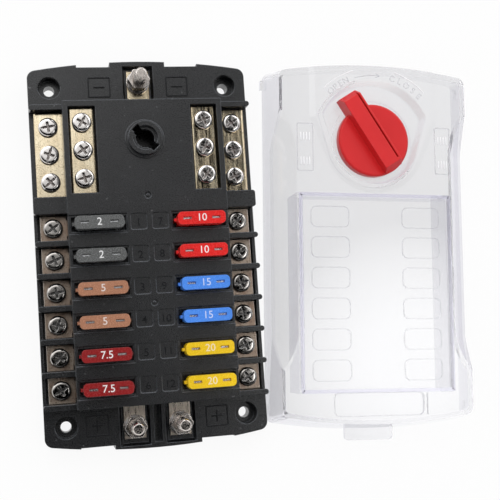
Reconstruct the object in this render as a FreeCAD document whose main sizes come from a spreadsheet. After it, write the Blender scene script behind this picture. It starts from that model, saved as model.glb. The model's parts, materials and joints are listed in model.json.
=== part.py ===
import FreeCAD, Part
import Sketcher
import math
import os

# Twelve-way blade fuse block with its clear cover lying beside it, millimetres.
# The block lies on its back. The origin is the centre of the four mounting holes on the back face.
# X runs across the block, Y runs along it towards the negative stud, Z points out of the front.

os.makedirs("parts", exist_ok=True)
doc = FreeCAD.newDocument("FuseBlock")
sheet = doc.addObject("Spreadsheet::Sheet", "Sizes")

sizes = {
    "base_width": 90.0,
    "base_length": 158.6,
    "end_bow": 3.8,
    "base_height": 12.1,
    "base_corner_round": 3.5,
    "hole_inset_across": 8.6,
    "hole_inset_along": 10.7,
    "hole_diameter": 4.4,
    "hole_bore_diameter": 9.0,
    "hole_bore_depth": 5.4,
    "notch_depth": 2.2,
    "top_notch_inner": 11.4,
    "top_notch_outer": 25.0,
    "bottom_notch_inner": 17.5,
    "bottom_notch_outer": 31.0,
    "way_count": 12.0,
    "upper_land": 19.1,
    "lower_land": 17.93,
    "shelf_width": 13.05,
    "barrier_thickness": 2.2,
    "barrier_top": 6.9,
    "thick_barrier_length": 6.8,
    "deck_top": 12.9,
    "screw_inset": 7.4,
    "side_groove_width": 2.5,
    "side_wall": 1.3,
    "side_groove_depth": 5.0,
    "bus_thickness": 1.2,
    "bus_top_drop": 1.5,
    "fit_gap": 0.3,
    "stud_diameter": 4.9,
    "stud_tip": 14.2,
    "stud_foot": -9.1,
    "stud_point": 0.6,
    "stud_hole_gap": 0.25,
    "negative_stud_inset": 8.7,
    "positive_stud_across": 9.2,
    "positive_stud_inset": 9.0,
    "stud_bar_width": 9.0,
    "stud_bar_over": 4.9,
    "positive_bar_width": 8.6,
    "bay_margin": 0.9,
    "bay_slope": 1.4,
    "bay_upper_wall": 2.9,
    "bay_lower_wall": 2.3,
    "middle_slot_width": 3.2,
    "nut_flats": 8.0,
    "nut_height": 4.5,
    "nut_crown": 0.3,
    "washer_diameter": 9.6,
    "washer_height": 1.0,
    "spring_washer_diameter": 8.4,
    "spring_washer_height": 1.3,
    "spring_washer_slit": 0.8,
    "plate_thickness": 1.1,
    "terminal_side_gap": 0.24,
    "terminal_lip_gap": 1.1,
    "terminal_tongue_width": 6.4,
    "terminal_lip": 3.4,
    "screw_diameter": 3.9,
    "screw_length": 9.0,
    "screw_room_under": 1.2,
    "head_diameter": 7.8,
    "head_height": 2.1,
    "collar_diameter": 5.6,
    "collar_depth": 1.8,
    "collar_thread_gap": 0.05,
    "bar_edge_inset": 1.8,
    "bar_high_width": 10.2,
    "bar_step_inset": 2.35,
    "bar_low_top": 2.3,
    "bar_high_top": 10.0,
    "bar_lip": 2.4,
    "bar_length": 34.29,
    "bar_end_gap": 0.5,
    "bar_screw_pitch": 11.25,
    "bar_bend_round": 0.9,
    "bar_tab_length": 8.0,
    "fuse_inset": 11.88,
    "fuse_width": 19.1,
    "fuse_thickness": 5.1,
    "fuse_top": 19.2,
    "fuse_seat": 7.6,
    "fuse_head_height": 5.6,
    "fuse_skirt_inset": 0.55,
    "fuse_corner_round": 1.7,
    "fuse_rib_reach": 0.8,
    "fuse_rib_width": 1.3,
    "fuse_link_foot": 12.0,
    "fuse_link_top": 13.5,
    "fuse_shoulder": 7.3,
    "blade_bevel_across": 0.9,
    "blade_bevel_up": 1.0,
    "blade_offset": 6.9,
    "blade_width": 5.1,
    "blade_thickness": 0.65,
    "blade_tip": 0.7,
    "test_slot_offset": 5.75,
    "test_slot_length": 3.3,
    "test_slot_width": 1.1,
    "test_slot_depth": 1.2,
    "clip_leaf": 0.6,
    "clip_width": 4.8,
    "clip_running_gap": 0.05,
    "clip_top": 7.1,
    "past": 1.0,
    "overlap": 0.5,
    "well_end_gap": 1.2,
    "well_side_gap": 0.35,
    "trough_depth": 0.8,
    "trough_width": 7.6,
    "trough_inner_over": 0.6,
    "blade_slot_over": 0.4,
    "number_window_column": 4.3,
    "number_window_width": 6.4,
    "number_window_length": 6.5,
    "number_window_shift": 0.35,
    "number_window_round": 0.9,
    "number_window_depth": 0.35,
    "pit_over": 4.2,
    "pit_diameter": 2.6,
    "pit_pin_diameter": 1.2,
    "pit_depth": 0.5,
    "core_wall": 1.8,
    "core_end_inset": 21.3,
    "core_columns": 4.0,
    "core_rows": 8.0,
    "post_inset": 16.3,
    "post_flange_diameter": 15.6,
    "post_flange_height": 0.8,
    "post_diameter": 13.6,
    "post_height": 3.2,
    "post_bore_diameter": 9.8,
    "post_bore_floor": 1.9,
    "ledge_top": 14.1,
    "ledge_thickness": 2.4,
    "ledge_bore_diameter": 7.4,
    "key_width": 3.4,
    "key_reach": 12.0,
    "key_angle": 133.0,
    "cover_lay_gap": 0.245,
    "cover_along": -1.5,
    "cover_turn": -3.5,
    "cover_height": 18.5,
    "cover_wall": 1.6,
    "cover_side_lean": 3.3,
    "cover_end_lean": 3.1,
    "waist_clear": 0.7,
    "waist_foot_inset": 1.0,
    "waist_depth": 11.0,
    "waist_upper_inset": 18.5,
    "waist_upper_run": 18.5,
    "waist_lower_inset": 21.0,
    "waist_lower_run": 15.0,
    "waist_end_rise": 0.06,
    "waist_end_share": 0.25,
    "waist_overreach": 8.0,
    "cover_corner_ease": 1.08,
    "skirt_gap": 0.35,
    "skirt_upper_over": 3.79,
    "skirt_bar_depth": 11.0,
    "window_drop": 0.8,
    "window_border": 1.9,
    "nub_reach": 1.2,
    "nub_length": 4.0,
    "nub_height": 2.2,
    "latch_width": 21.5,
    "latch_reach": 4.6,
    "latch_thickness": 2.0,
    "latch_rise": 1.2,
    "latch_root": 1.4,
    "latch_round": 1.5,
    "finger_recess_width": 38.6,
    "finger_recess_length": 9.2,
    "finger_recess_round": 2.0,
    "finger_recess_depth": 0.6,
    "pad_height": 1.0,
    "pad_slope": 2.4,
    "pad_half_width": 26.2,
    "pad_shoulder": 9.0,
    "pad_round": 20.6,
    "pad_round_angle": 110.0,
    "recess_floor_height": 14.0,
    "recess_shelf_rise": 1.2,
    "recess_slope": 1.4,
    "recess_round": 17.8,
    "recess_fan_round": 24.2,
    "recess_fan_angle": 65.0,
    "recess_side_angle": 98.0,
    "recess_wall": 1.6,
    "knob_diameter": 31.2,
    "knob_disc_height": 4.0,
    "pointer_width": 8.4,
    "pointer_reach": 22.4,
    "pointer_tail": 14.9,
    "pointer_height": 5.0,
    "pointer_angle": 33.0,
    "pointer_end_slope": 2.2,
    "pointer_end_drop": 3.6,
    "pointer_ridge": 0.8,
    "pointer_groove_width": 0.8,
    "pointer_groove_depth": 1.6,
    "pointer_groove_tip": 1.4,
    "pointer_groove_heel": 3.4,
    "knob_floor_gap": 0.3,
    "knob_edge": 0.7,
    "spindle_diameter": 6.8,
    "spindle_gap": 0.06,
    "spigot_diameter": 4.4,
    "spigot_foot": 5.0,
    "key_flange_diameter": 11.0,
    "key_flange_height": 1.4,
    "key_barrel_diameter": 7.0,
    "key_foot": 0.8,
    "lug_length": 9.2,
    "lug_width": 2.8,
    "lug_height": 2.2,
}

for line, (alias, number) in enumerate(sizes.items(), start=1):
    sheet.set(f"A{line}", alias)
    sheet.set(f"B{line}", str(number))
    sheet.setAlias(f"B{line}", alias)
doc.recompute()


# A size with its number and the sheet formula that gives it, so that both stay in step.
class Size:
    def __init__(self, number, text):
        self.number = float(number)
        self.text = text

    def __add__(self, other):
        other = as_size(other)
        return Size(self.number + other.number, f"({self.text} + {other.text})")

    def __sub__(self, other):
        other = as_size(other)
        return Size(self.number - other.number, f"({self.text} - {other.text})")

    def __mul__(self, other):
        other = as_size(other)
        return Size(self.number * other.number, f"({self.text} * {other.text})")

    def __truediv__(self, other):
        other = as_size(other)
        return Size(self.number / other.number, f"({self.text} / {other.text})")

    def __neg__(self):
        return Size(-self.number, f"(-1 * {self.text})")

    __radd__ = __add__
    __rmul__ = __mul__

    def __rsub__(self, other):
        return as_size(other) - self


def as_size(value):
    return value if isinstance(value, Size) else Size(value, repr(float(value)))


def least(one, other):
    return Size(min(one.number, other.number), f"min({one.text}; {other.text})")


def turned(angle, function):
    number = getattr(math, function)(math.radians(angle.number))
    return Size(number, f"{function}({angle.text} * 1 deg)")


class Values:
    pass


given = Values()
for alias in sizes:
    setattr(given, alias, Size(sheet.get(alias), f"Sizes.{alias}"))


# Feature helpers.
def bind(thing, prop, size):
    thing.setExpression(prop, as_size(size).text)


def move(thing, across=0.0, along=0.0, up=0.0):
    bind(thing, "Placement.Base.x", across)
    bind(thing, "Placement.Base.y", along)
    bind(thing, "Placement.Base.z", up)
    return thing


def block(name, across, along, up):
    piece = doc.addObject("Part::Box", name)
    low, high = as_size(across[0]), as_size(across[1])
    front, back = as_size(along[0]), as_size(along[1])
    foot, top = as_size(up[0]), as_size(up[1])
    bind(piece, "Length", high - low)
    bind(piece, "Width", back - front)
    bind(piece, "Height", top - foot)
    return move(piece, low, front, foot)


def round_bar(name, across, along, up, diameter):
    piece = doc.addObject("Part::Cylinder", name)
    foot, top = as_size(up[0]), as_size(up[1])
    bind(piece, "Radius", as_size(diameter) / 2)
    bind(piece, "Height", top - foot)
    return move(piece, across, along, foot)


def joined(name, pieces):
    result = doc.addObject("Part::MultiFuse", name)
    result.Shapes = pieces
    result.Refine = True
    return result


def less(name, piece, tools):
    tool = tools[0] if len(tools) == 1 else joined(name + "_tools", tools)
    result = doc.addObject("Part::Cut", name)
    result.Base = piece
    result.Tool = tool
    result.Refine = True
    return result


def plane_of(body, role):
    return next(plane for plane in body.Origin.OriginFeatures if plane.Role == role)


def draw(sketch, corners):
    # Each corner is (x, y) or (x, y, radius): a radius makes the side to the next corner an arc,
    # which bulges to the right of the way from corner to corner.
    count = len(corners)
    points = [(as_size(corner[0]), as_size(corner[1])) for corner in corners]
    for number, corner in enumerate(corners):
        start = points[number]
        end = points[(number + 1) % count]
        first = FreeCAD.Vector(start[0].number, start[1].number, 0)
        last = FreeCAD.Vector(end[0].number, end[1].number, 0)
        if len(corner) == 2:
            sketch.addGeometry(Part.LineSegment(first, last), False)
            continue
        radius = as_size(corner[2]).number
        middle = (first + last) * 0.5
        half = (last - first).Length / 2
        outward = FreeCAD.Vector(last.y - first.y, first.x - last.x, 0).normalize()
        rise = radius - math.sqrt(max(radius ** 2 - half ** 2, 0.0))
        sketch.addGeometry(Part.Arc(first, middle + outward * rise, last), False)
    for number, corner in enumerate(corners):
        sketch.addConstraint(Sketcher.Constraint("Coincident", number, end_of(sketch, number, points, 1),
                             (number + 1) % count, end_of(sketch, (number + 1) % count, points, 0)))
    for number, point in enumerate(points):
        spot = end_of(sketch, number, points, 0)
        for kind, size in (("DistanceX", point[0]), ("DistanceY", point[1])):
            place = sketch.addConstraint(Sketcher.Constraint(kind, -1, 1, number, spot, size.number))
            sketch.setExpression(f"Constraints[{place}]", size.text)
        if len(corners[number]) == 3:
            radius = as_size(corners[number][2])
            place = sketch.addConstraint(Sketcher.Constraint("Radius", number, radius.number))
            sketch.setExpression(f"Constraints[{place}]", radius.text)


def end_of(sketch, number, points, which):
    # An arc may be stored the other way round, so its end is found by place.
    wanted = points[(number + which) % len(points)]
    curve = sketch.Geometry[number]
    gap = math.hypot(curve.StartPoint.x - wanted[0].number, curve.StartPoint.y - wanted[1].number)
    return 1 if gap < 1e-6 else 2


def slab(name, corners, up):
    # A flat piece: an outline on the ground plane, padded from one height to another.
    body = doc.addObject("PartDesign::Body", name)
    sketch = body.newObject("Sketcher::SketchObject", name + "_outline")
    sketch.AttachmentSupport = (plane_of(body, "XY_Plane"), [""])
    sketch.MapMode = "FlatFace"
    draw(sketch, corners)
    pad = body.newObject("PartDesign::Pad", name + "_pad")
    pad.Profile = sketch
    foot, top = as_size(up[0]), as_size(up[1])
    bind(pad, "Length", top - foot)
    bind(body, "Placement.Base.z", foot)
    return body


def strip(name, corners, along):
    # A section in the X-Z plane, padded along Y between two places.
    body = doc.addObject("PartDesign::Body", name)
    sketch = body.newObject("Sketcher::SketchObject", name + "_section")
    sketch.AttachmentSupport = (plane_of(body, "XZ_Plane"), [""])
    sketch.MapMode = "FlatFace"
    draw(sketch, corners)
    pad = body.newObject("PartDesign::Pad", name + "_pad")
    pad.Profile = sketch
    front, back = as_size(along[0]), as_size(along[1])
    bind(pad, "Length", back - front)
    bind(body, "Placement.Base.y", back)
    return body


def round_corners(body, radius, pick):
    doc.recompute()
    base = body.Tip
    names = [f"Edge{number}" for number, edge in enumerate(base.Shape.Edges, start=1) if pick(edge)]
    fillet = body.newObject("PartDesign::Fillet", body.Name + "_round")
    fillet.Base = (base, names)
    bind(fillet, "Radius", radius)
    body.Tip = fillet
    return body


def upright(edge):
    start, end = edge.Vertexes[0].Point, edge.Vertexes[-1].Point
    return abs(start.z - end.z) > 1e-6 and math.hypot(start.x - end.x, start.y - end.y) < 1e-6


def rounded(across, along, radius):
    # The corners of a rectangle with rounded corners.
    low, high = as_size(across[0]), as_size(across[1])
    front, back = as_size(along[0]), as_size(along[1])
    return [(low + radius, front), (high - radius, front, radius), (high, front + radius),
            (high, back - radius, radius), (high - radius, back), (low + radius, back, radius),
            (low, back - radius), (low, front + radius, radius)]


def arc_radius(chord, rise):
    return (chord * chord / 4 + rise * rise) / (rise * 2)


def mirrored_pair(side, near, far):
    # Two places on one side of the middle, low one first.
    return (near, far) if side > 0 else (-far, -near)


nodes = {}


def keep(name, thing):
    thing.Label = name
    nodes[name] = thing
    return thing


# Shared places. Along the block they follow each other from its upper end: land, barrier, bars, thick
# barrier, and then the rows, which share the length that is left above the lower land.
g = given
rows = int(g.way_count.number) // 2
half_base = g.base_width / 2
half_deck = half_base - g.shelf_width
base_end = g.base_length / 2
side_end = base_end - g.end_bow
barrier_half = g.barrier_thickness / 2
deck_upper_end = base_end - g.upper_land
deck_lower_end = g.lower_land - base_end
bar_high = deck_upper_end - g.barrier_thickness - g.bar_end_gap
bar_low = bar_high - g.bar_length
bar_centre = (bar_low + bar_high) / 2
thick_barrier_high = bar_low - g.bar_end_gap
thick_barrier_low = thick_barrier_high - g.thick_barrier_length
row_top = thick_barrier_low + barrier_half
row_pitch = (row_top - deck_lower_end - barrier_half) / rows
row_places = [row_top - row_pitch * (row + 0.5) for row in range(rows)]
barrier_places = [row_top - row_pitch * (row + 1) for row in range(rows)]
bus_top = g.base_height - g.bus_top_drop
bus_foot = bus_top - g.bus_thickness
plate_top = g.base_height + g.plate_thickness
end_arc = arc_radius(g.base_width, g.end_bow)
# These heights are measured from the lower moulding's top face.
barrier_top = g.base_height + g.barrier_top
deck_top = g.base_height + g.deck_top
stud_tip = g.base_height + g.stud_tip
stud_foot = g.base_height + g.stud_foot
bar_low_top = g.base_height + g.bar_low_top
bar_high_top = g.base_height + g.bar_high_top
fuse_top = g.base_height + g.fuse_top
fuse_seat = g.base_height + g.fuse_seat
fuse_link_foot = g.base_height + g.fuse_link_foot
fuse_link_top = g.base_height + g.fuse_link_top
fuse_shoulder = g.base_height + g.fuse_shoulder
blade_tip = g.base_height + g.blade_tip
clip_top = g.base_height + g.clip_top
post_bore_floor = g.base_height + g.post_bore_floor
ledge_top = g.base_height + g.ledge_top
screw_column = half_base - g.screw_inset
fuse_column = half_deck - g.fuse_inset
inner_blade = fuse_column - g.blade_offset
outer_blade = fuse_column + g.blade_offset
groove_outer = half_base - g.side_wall
terminal_half = (row_pitch - g.barrier_thickness) / 2 - g.terminal_side_gap
bar_step = half_deck - g.bar_step_inset
bar_inner_edge = bar_step - g.bar_high_width
bar_high_column = bar_step - g.bar_high_width / 2
bar_screws = [bar_centre + g.bar_screw_pitch * step for step in (-1, 0, 1)]
collar_room = g.collar_diameter + g.fit_gap * 2
screw_room_foot = plate_top - g.screw_length - g.screw_room_under
negative_stud = base_end - g.negative_stud_inset
positive_stud = g.positive_stud_inset - base_end
positive_inner = g.positive_stud_across - g.positive_bar_width / 2
positive_outer = g.positive_stud_across + g.positive_bar_width / 2
post_along = deck_upper_end - g.post_inset
core_columns = int(g.core_columns.number)
core_rows = int(g.core_rows.number)
half_skirt = half_deck + g.skirt_gap + g.cover_wall
half_waist = half_skirt + g.waist_clear
# A cutting piece runs this far past the face that it cuts, and a joined piece overlaps its neighbour.
past = g.past
overlap = g.overlap


# Base: the lower moulding, with counterbored corner holes and the stud bays at its ends.
def make_base():
    outline = [(-half_base, -side_end, end_arc), (half_base, -side_end),
               (half_base, side_end, end_arc), (-half_base, side_end)]
    body = slab("base_plate", outline, (0, g.base_height))
    round_corners(body, g.base_corner_round, upright)
    lower_bay_end = g.bay_lower_wall - base_end
    cuts = core_cuts()
    for side in (-1, 1):
        for end in (-1, 1):
            tag = f"{side + 1}{end + 1}"
            across = (half_base - g.hole_inset_across) * side
            along = (base_end - g.hole_inset_along) * end
            bore_floor = g.base_height - g.hole_bore_depth
            for name, foot, diameter in (("hole", -past, g.hole_diameter),
                                         ("bore", bore_floor, g.hole_bore_diameter)):
                cuts.append(round_bar(f"{name}_{tag}", across, along, (foot, g.base_height + past), diameter))
        # The end edges are notched either side of the studs.
        for name, near, far, edge in (("top", g.top_notch_inner, g.top_notch_outer, base_end),
                                      ("bottom", g.bottom_notch_inner, g.bottom_notch_outer, -base_end)):
            sign = 1 if name == "top" else -1
            inner = edge - g.notch_depth * sign
            along = (inner, edge + past) if sign > 0 else (edge - past, inner)
            cuts.append(block(f"notch_{name}_{side + 1}", mirrored_pair(side, near, far), along,
                              (-past, g.base_height + past)))
        # A groove inside each side wall takes the bent lips of the terminals.
        groove = mirrored_pair(side, groove_outer - g.side_groove_width, groove_outer)
        cuts.append(block(f"side_groove_{side + 1}", groove,
                          (deck_lower_end + g.barrier_thickness, thick_barrier_low),
                          (g.base_height - g.side_groove_depth, g.base_height + past)))
        # Room under each screw for the threaded collar and the screw's end.
        for number, along in enumerate(row_places + bar_screws):
            cuts.append(round_bar(f"screw_room_{side + 1}_{number}", screw_column * side, along,
                                  (screw_room_foot, g.base_height + past), collar_room))
        # Bay round the positive stud, and the channels that the bus and its strip of clips lie in.
        bay = mirrored_pair(side, positive_inner - g.bay_margin, positive_outer + g.bay_margin)
        cuts.append(bay_cut(f"positive_bay_{side + 1}", bay, (lower_bay_end, deck_lower_end + past * 2)))
        clips = mirrored_pair(side, least(inner_blade - g.clip_width, positive_outer),
                              inner_blade + g.clip_width)
        for name, across in (("bus_channel", bay), ("clip_channel", clips)):
            cuts.append(block(f"{name}_{side + 1}", across,
                              (deck_lower_end + past, row_places[0] + g.clip_width),
                              (bus_foot, g.base_height + past)))
        cuts.append(round_bar(f"positive_stud_hole_{side + 1}", g.positive_stud_across * side,
                              positive_stud, (stud_foot, g.base_height),
                              g.stud_diameter + g.stud_hole_gap))
    half_bar = g.stud_bar_width / 2
    cuts.append(bay_cut("negative_bay", (-half_bar - g.bay_margin, half_bar + g.bay_margin),
                        (deck_upper_end - past * 2, base_end - g.bay_upper_wall)))
    cuts.append(block("strap_channel", (-bar_step - g.fit_gap, bar_step + g.fit_gap),
                      (bar_centre - g.bar_tab_length, bar_centre + g.bar_tab_length),
                      (bus_foot, g.base_height + past)))
    cuts.append(block("tongue_channel", (-half_bar - g.bay_margin, half_bar + g.bay_margin),
                      (bar_centre, deck_upper_end - past), (bus_foot, g.base_height + past)))
    cuts.append(round_bar("negative_stud_hole", 0, negative_stud, (stud_foot, g.base_height),
                          g.stud_diameter + g.stud_hole_gap))
    # Narrow slot between the two positive bays.
    half_slot = g.middle_slot_width / 2
    cuts.append(block("middle_slot", (-half_slot, half_slot), (lower_bay_end, deck_lower_end - g.fit_gap),
                      (g.base_height - g.side_groove_depth, g.base_height + past)))
    return keep("base", less("base", body, cuts))


def core_cuts():
    # The underside is cored out between ribs, inside the screws' rooms and under the channels' floor.
    cuts = []
    half_width = screw_column - collar_room / 2 - g.core_wall
    half_length = base_end - g.core_end_inset
    across_step = (half_width * 2 + g.core_wall) / core_columns
    along_step = (half_length * 2 + g.core_wall) / core_rows
    for column in range(core_columns):
        low = across_step * column - half_width
        for row in range(core_rows):
            front = along_step * row - half_length
            cuts.append(block(f"core_{column}_{row}", (low, low + across_step - g.core_wall),
                              (front, front + along_step - g.core_wall), (-past, bus_foot - g.core_wall)))
    return cuts


def bay_cut(name, across, along):
    # A bay whose side walls slope outwards to the top face: its floor is level with the bus bar's foot.
    lower = doc.addObject("Part::Wedge", name)
    low, high = as_size(across[0]), as_size(across[1])
    front, back = as_size(along[0]), as_size(along[1])
    rise = g.base_height - bus_foot
    reach = rise + g.bay_slope
    # A wedge is widest at its far Y side, so it is drawn lying down and turned up.
    bind(lower, "Xmin", low)
    bind(lower, "Xmax", high)
    bind(lower, "Ymin", 0)
    bind(lower, "Ymax", reach)
    bind(lower, "Zmin", -back)
    bind(lower, "Zmax", -front)
    bind(lower, "X2min", low - g.bay_slope)
    bind(lower, "X2max", high + g.bay_slope)
    bind(lower, "Z2min", -back - g.bay_slope)
    bind(lower, "Z2max", -front + g.bay_slope)
    lower.Placement = FreeCAD.Placement(FreeCAD.Vector(), FreeCAD.Rotation(FreeCAD.Vector(1, 0, 0), 90))
    bind(lower, "Placement.Base.z", bus_foot)
    return lower


# Deck: the upper moulding, with the fuse wells, the barriers between the terminals and the lock post.
def make_deck():
    adds = [block("plateau", (-half_deck, half_deck), (deck_lower_end, deck_upper_end),
                  (g.base_height, deck_top))]
    cuts = []
    tip = half_base - barrier_half
    for side in (-1, 1):
        reach = mirrored_pair(side, half_deck - past, tip)
        for number, along in enumerate(barrier_places + [deck_upper_end - barrier_half]):
            tag = f"{side + 1}_{number}"
            adds.append(block("barrier_" + tag, reach, (along - barrier_half, along + barrier_half),
                              (g.base_height, barrier_top)))
            adds.append(round_bar("barrier_end_" + tag, tip * side, along, (g.base_height, barrier_top),
                                  g.barrier_thickness))
        corners = rounded(mirrored_pair(side, half_deck - past * 2, half_base),
                          (thick_barrier_low, thick_barrier_high), g.barrier_thickness / 2)
        adds.append(slab(f"thick_barrier_{side + 1}", corners, (g.base_height, barrier_top)))
        # Stepped recess for the raised half of the negative bar, with a slot for its upright.
        floor = bar_high_top - g.bar_lip
        cuts.append(block(f"bar_recess_{side + 1}",
                          mirrored_pair(side, bar_inner_edge - g.fit_gap, bar_step + g.fit_gap),
                          (bar_low - g.fit_gap, bar_high + g.fit_gap), (floor, deck_top + past)))
        cuts.append(block(f"bar_upright_slot_{side + 1}",
                          mirrored_pair(side, bar_step - g.bus_thickness - g.fit_gap, bar_step + g.fit_gap),
                          (bar_low - g.fit_gap, bar_high + g.fit_gap), (g.base_height - past, floor + past)))
        cuts.append(block(f"bar_foot_slot_{side + 1}",
                          mirrored_pair(side, bar_step - g.fit_gap, half_deck + past),
                          (bar_low - g.fit_gap, bar_high + g.fit_gap),
                          (g.base_height - past, bar_low_top + g.fit_gap)))
        for number, along in enumerate(bar_screws):
            cuts.append(round_bar(f"bar_screw_room_{side + 1}_{number}", bar_high_column * side, along,
                                  (g.base_height - past, floor + past), collar_room))
        for number, along in enumerate(row_places):
            cuts += fuse_way_cuts(f"{side + 1}_{number}", side, along)
            cuts.append(number_window(f"number_window_{side + 1}_{number}", side, along))
    cuts.append(moulding_pit("upper_pit", row_top + g.pit_over))
    cuts.append(moulding_pit("lower_pit", barrier_places[rows // 2 - 1]))
    for name, height, diameter in (("post_flange", g.post_flange_height, g.post_flange_diameter),
                                   ("post_ring", g.post_height, g.post_diameter)):
        adds.append(round_bar(name, 0, post_along, (deck_top - past, deck_top + height), diameter))
    post_top = deck_top + g.post_height
    ledge_foot = ledge_top - g.ledge_thickness
    cuts.append(round_bar("post_mouth", 0, post_along, (ledge_top, post_top + past), g.post_bore_diameter))
    cuts.append(round_bar("post_throat", 0, post_along, (ledge_foot - past, ledge_top + past),
                          g.ledge_bore_diameter))
    cuts.append(round_bar("post_chamber", 0, post_along, (post_bore_floor, ledge_foot),
                          g.key_reach + g.fit_gap))
    key = block("post_key", (-g.key_reach / 2, g.key_reach / 2), (-g.key_width / 2, g.key_width / 2),
                (ledge_foot - past, post_top + past))
    key.Placement.Rotation = FreeCAD.Rotation(FreeCAD.Vector(0, 0, 1), g.key_angle.number)
    shift = (-g.key_reach / 2, -g.key_width / 2)
    cosine, sine = turned(g.key_angle, "cos"), turned(g.key_angle, "sin")
    move(key, shift[0] * cosine - shift[1] * sine, post_along + shift[0] * sine + shift[1] * cosine,
         ledge_foot - past)
    bind(key, "Placement.Rotation.Angle", g.key_angle)
    cuts.append(key)
    return keep("fuse_deck", less("fuse_deck", joined("deck_solid", adds), cuts))


def number_window(name, side, along):
    # A shallow rounded window in the deck beside each fuse, for its number.
    half_width, half_length = g.number_window_width / 2, g.number_window_length / 2
    column, middle = g.number_window_column * side, along + g.number_window_shift
    corners = rounded((column - half_width, column + half_width),
                      (middle - half_length, middle + half_length), g.number_window_round)
    return slab(name, corners, (deck_top - g.number_window_depth, deck_top + past))


def moulding_pit(name, along):
    # A round pit with a small pin in its middle.
    foot, top = deck_top - g.pit_depth, deck_top + past
    return less(name, round_bar(name + "_round", 0, along, (foot, top), g.pit_diameter),
                [round_bar(name + "_pin", 0, along, (foot - past, top + past), g.pit_pin_diameter)])


def fuse_way_cuts(tag, side, along):
    cuts = []
    column = fuse_column * side
    reach = g.fuse_width / 2 + g.well_end_gap
    depth = g.fuse_thickness / 2 + g.well_side_gap
    cuts.append(block("well_" + tag, (column - reach, column + reach), (along - depth, along + depth),
                      (fuse_seat, deck_top + past)))
    cuts.append(block("trough_" + tag,
                      mirrored_pair(side, fuse_column - reach - g.trough_inner_over, half_deck + past),
                      (along - g.trough_width / 2, along + g.trough_width / 2),
                      (deck_top - g.trough_depth, deck_top + past)))
    room = g.clip_width / 2 + g.fit_gap
    across_clip = g.blade_thickness / 2 + g.clip_running_gap + g.clip_leaf + g.fit_gap
    for name, centre in (("inner", inner_blade), ("outer", outer_blade)):
        low, high = mirrored_pair(side, centre - room, centre + room)
        cuts.append(block(f"{name}_clip_room_{tag}", (low, high), (along - across_clip, along + across_clip),
                          (g.base_height - past, fuse_seat + past)))
    tongue = g.terminal_tongue_width / 2 + g.fit_gap
    cuts.append(block("tongue_slot_" + tag,
                      mirrored_pair(side, outer_blade - room, half_deck + past),
                      (along - tongue, along + tongue), (g.base_height - past, plate_top + g.fit_gap)))
    return cuts


# Output terminal: a plate with a bent outer lip, a threaded collar and the outer clip of its fuse.
def make_terminal(number, side, along):
    tag = f"terminal_{number}"
    low, high = half_deck + g.fit_gap, groove_outer - g.terminal_lip_gap
    tongue = g.terminal_tongue_width / 2
    width = (along - terminal_half, along + terminal_half)
    adds = [block(tag + "_plate", mirrored_pair(side, low, high), width, (g.base_height, plate_top)),
            block(tag + "_lip", mirrored_pair(side, high - g.plate_thickness, high), width,
                  (plate_top - g.terminal_lip, plate_top)),
            block(tag + "_tongue", mirrored_pair(side, outer_blade - g.clip_width / 2, low + past),
                  (along - tongue, along + tongue), (g.base_height, plate_top)),
            round_bar(tag + "_collar", screw_column * side, along,
                      (g.base_height - g.collar_depth, g.base_height), g.collar_diameter)]
    adds += clip_leaves(tag, outer_blade * side, along, g.base_height)
    bore = round_bar(tag + "_bore", screw_column * side, along,
                     (g.base_height - g.collar_depth - past, plate_top + past),
                     g.screw_diameter + g.collar_thread_gap * 2)
    gap = g.blade_thickness / 2 + g.clip_running_gap
    room = block(tag + "_blade_gap",
                 mirrored_pair(side, outer_blade - g.clip_width / 2 - past,
                               outer_blade + g.blade_width / 2 + g.blade_slot_over),
                 (along - gap, along + gap), (g.base_height - past, plate_top + past))
    keep(f"output_terminal_{number}", less(f"output_terminal_{number}", joined(tag + "_solid", adds),
                                           [bore, room]))


def clip_leaves(tag, across, along, foot):
    leaves = []
    half = g.clip_width / 2
    gap = g.blade_thickness / 2 + g.clip_running_gap
    for name, low, high in (("front", -gap - g.clip_leaf, -gap), ("back", gap, gap + g.clip_leaf)):
        leaves.append(block(f"{tag}_{name}_leaf", (across - half, across + half),
                            (along + low, along + high), (foot, clip_top)))
    return leaves


# Positive bus: a flat bar from the stud to the inner clips of one column of fuses.
def make_positive_bus(name, side):
    half_clip = g.clip_width / 2
    upper = row_places[0] + half_clip
    # The clips' strip reaches the tongue however far apart the two are.
    strip_edge = least(inner_blade - half_clip, positive_outer - overlap)
    adds = [block(name + "_tongue", mirrored_pair(side, positive_inner, positive_outer),
                  (positive_stud - g.stud_bar_over, upper), (bus_foot, bus_top)),
            block(name + "_strip", mirrored_pair(side, strip_edge, inner_blade + half_clip),
                  (row_places[-1] - half_clip, upper), (bus_foot, bus_top))]
    for number, along in enumerate(row_places):
        adds += clip_leaves(f"{name}_{number}", inner_blade * side, along, bus_foot)
    hole = round_bar(name + "_hole", g.positive_stud_across * side, positive_stud,
                     (bus_foot - past, bus_top + past), g.stud_diameter + g.stud_hole_gap)
    keep(name, less(name, joined(name + "_solid", adds), [hole]))


# Negative bus: a flat strap across the block with a tongue to its stud.
def make_negative_bus():
    half_bar = g.stud_bar_width / 2
    inner_end = bar_step - g.bus_thickness
    half_tab = g.bar_tab_length / 2
    adds = [block("strap", (-inner_end, inner_end), (bar_centre - half_tab, bar_centre + half_tab),
                  (bus_foot, bus_top)),
            block("negative_tongue", (-half_bar, half_bar), (bar_centre, negative_stud + g.stud_bar_over),
                  (bus_foot, bus_top))]
    hole = round_bar("negative_tongue_hole", 0, negative_stud, (bus_foot - past, bus_top + past),
                     g.stud_diameter + g.stud_hole_gap)
    keep("negative_bus", less("negative_bus", joined("negative_bus_solid", adds), [hole]))


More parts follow.
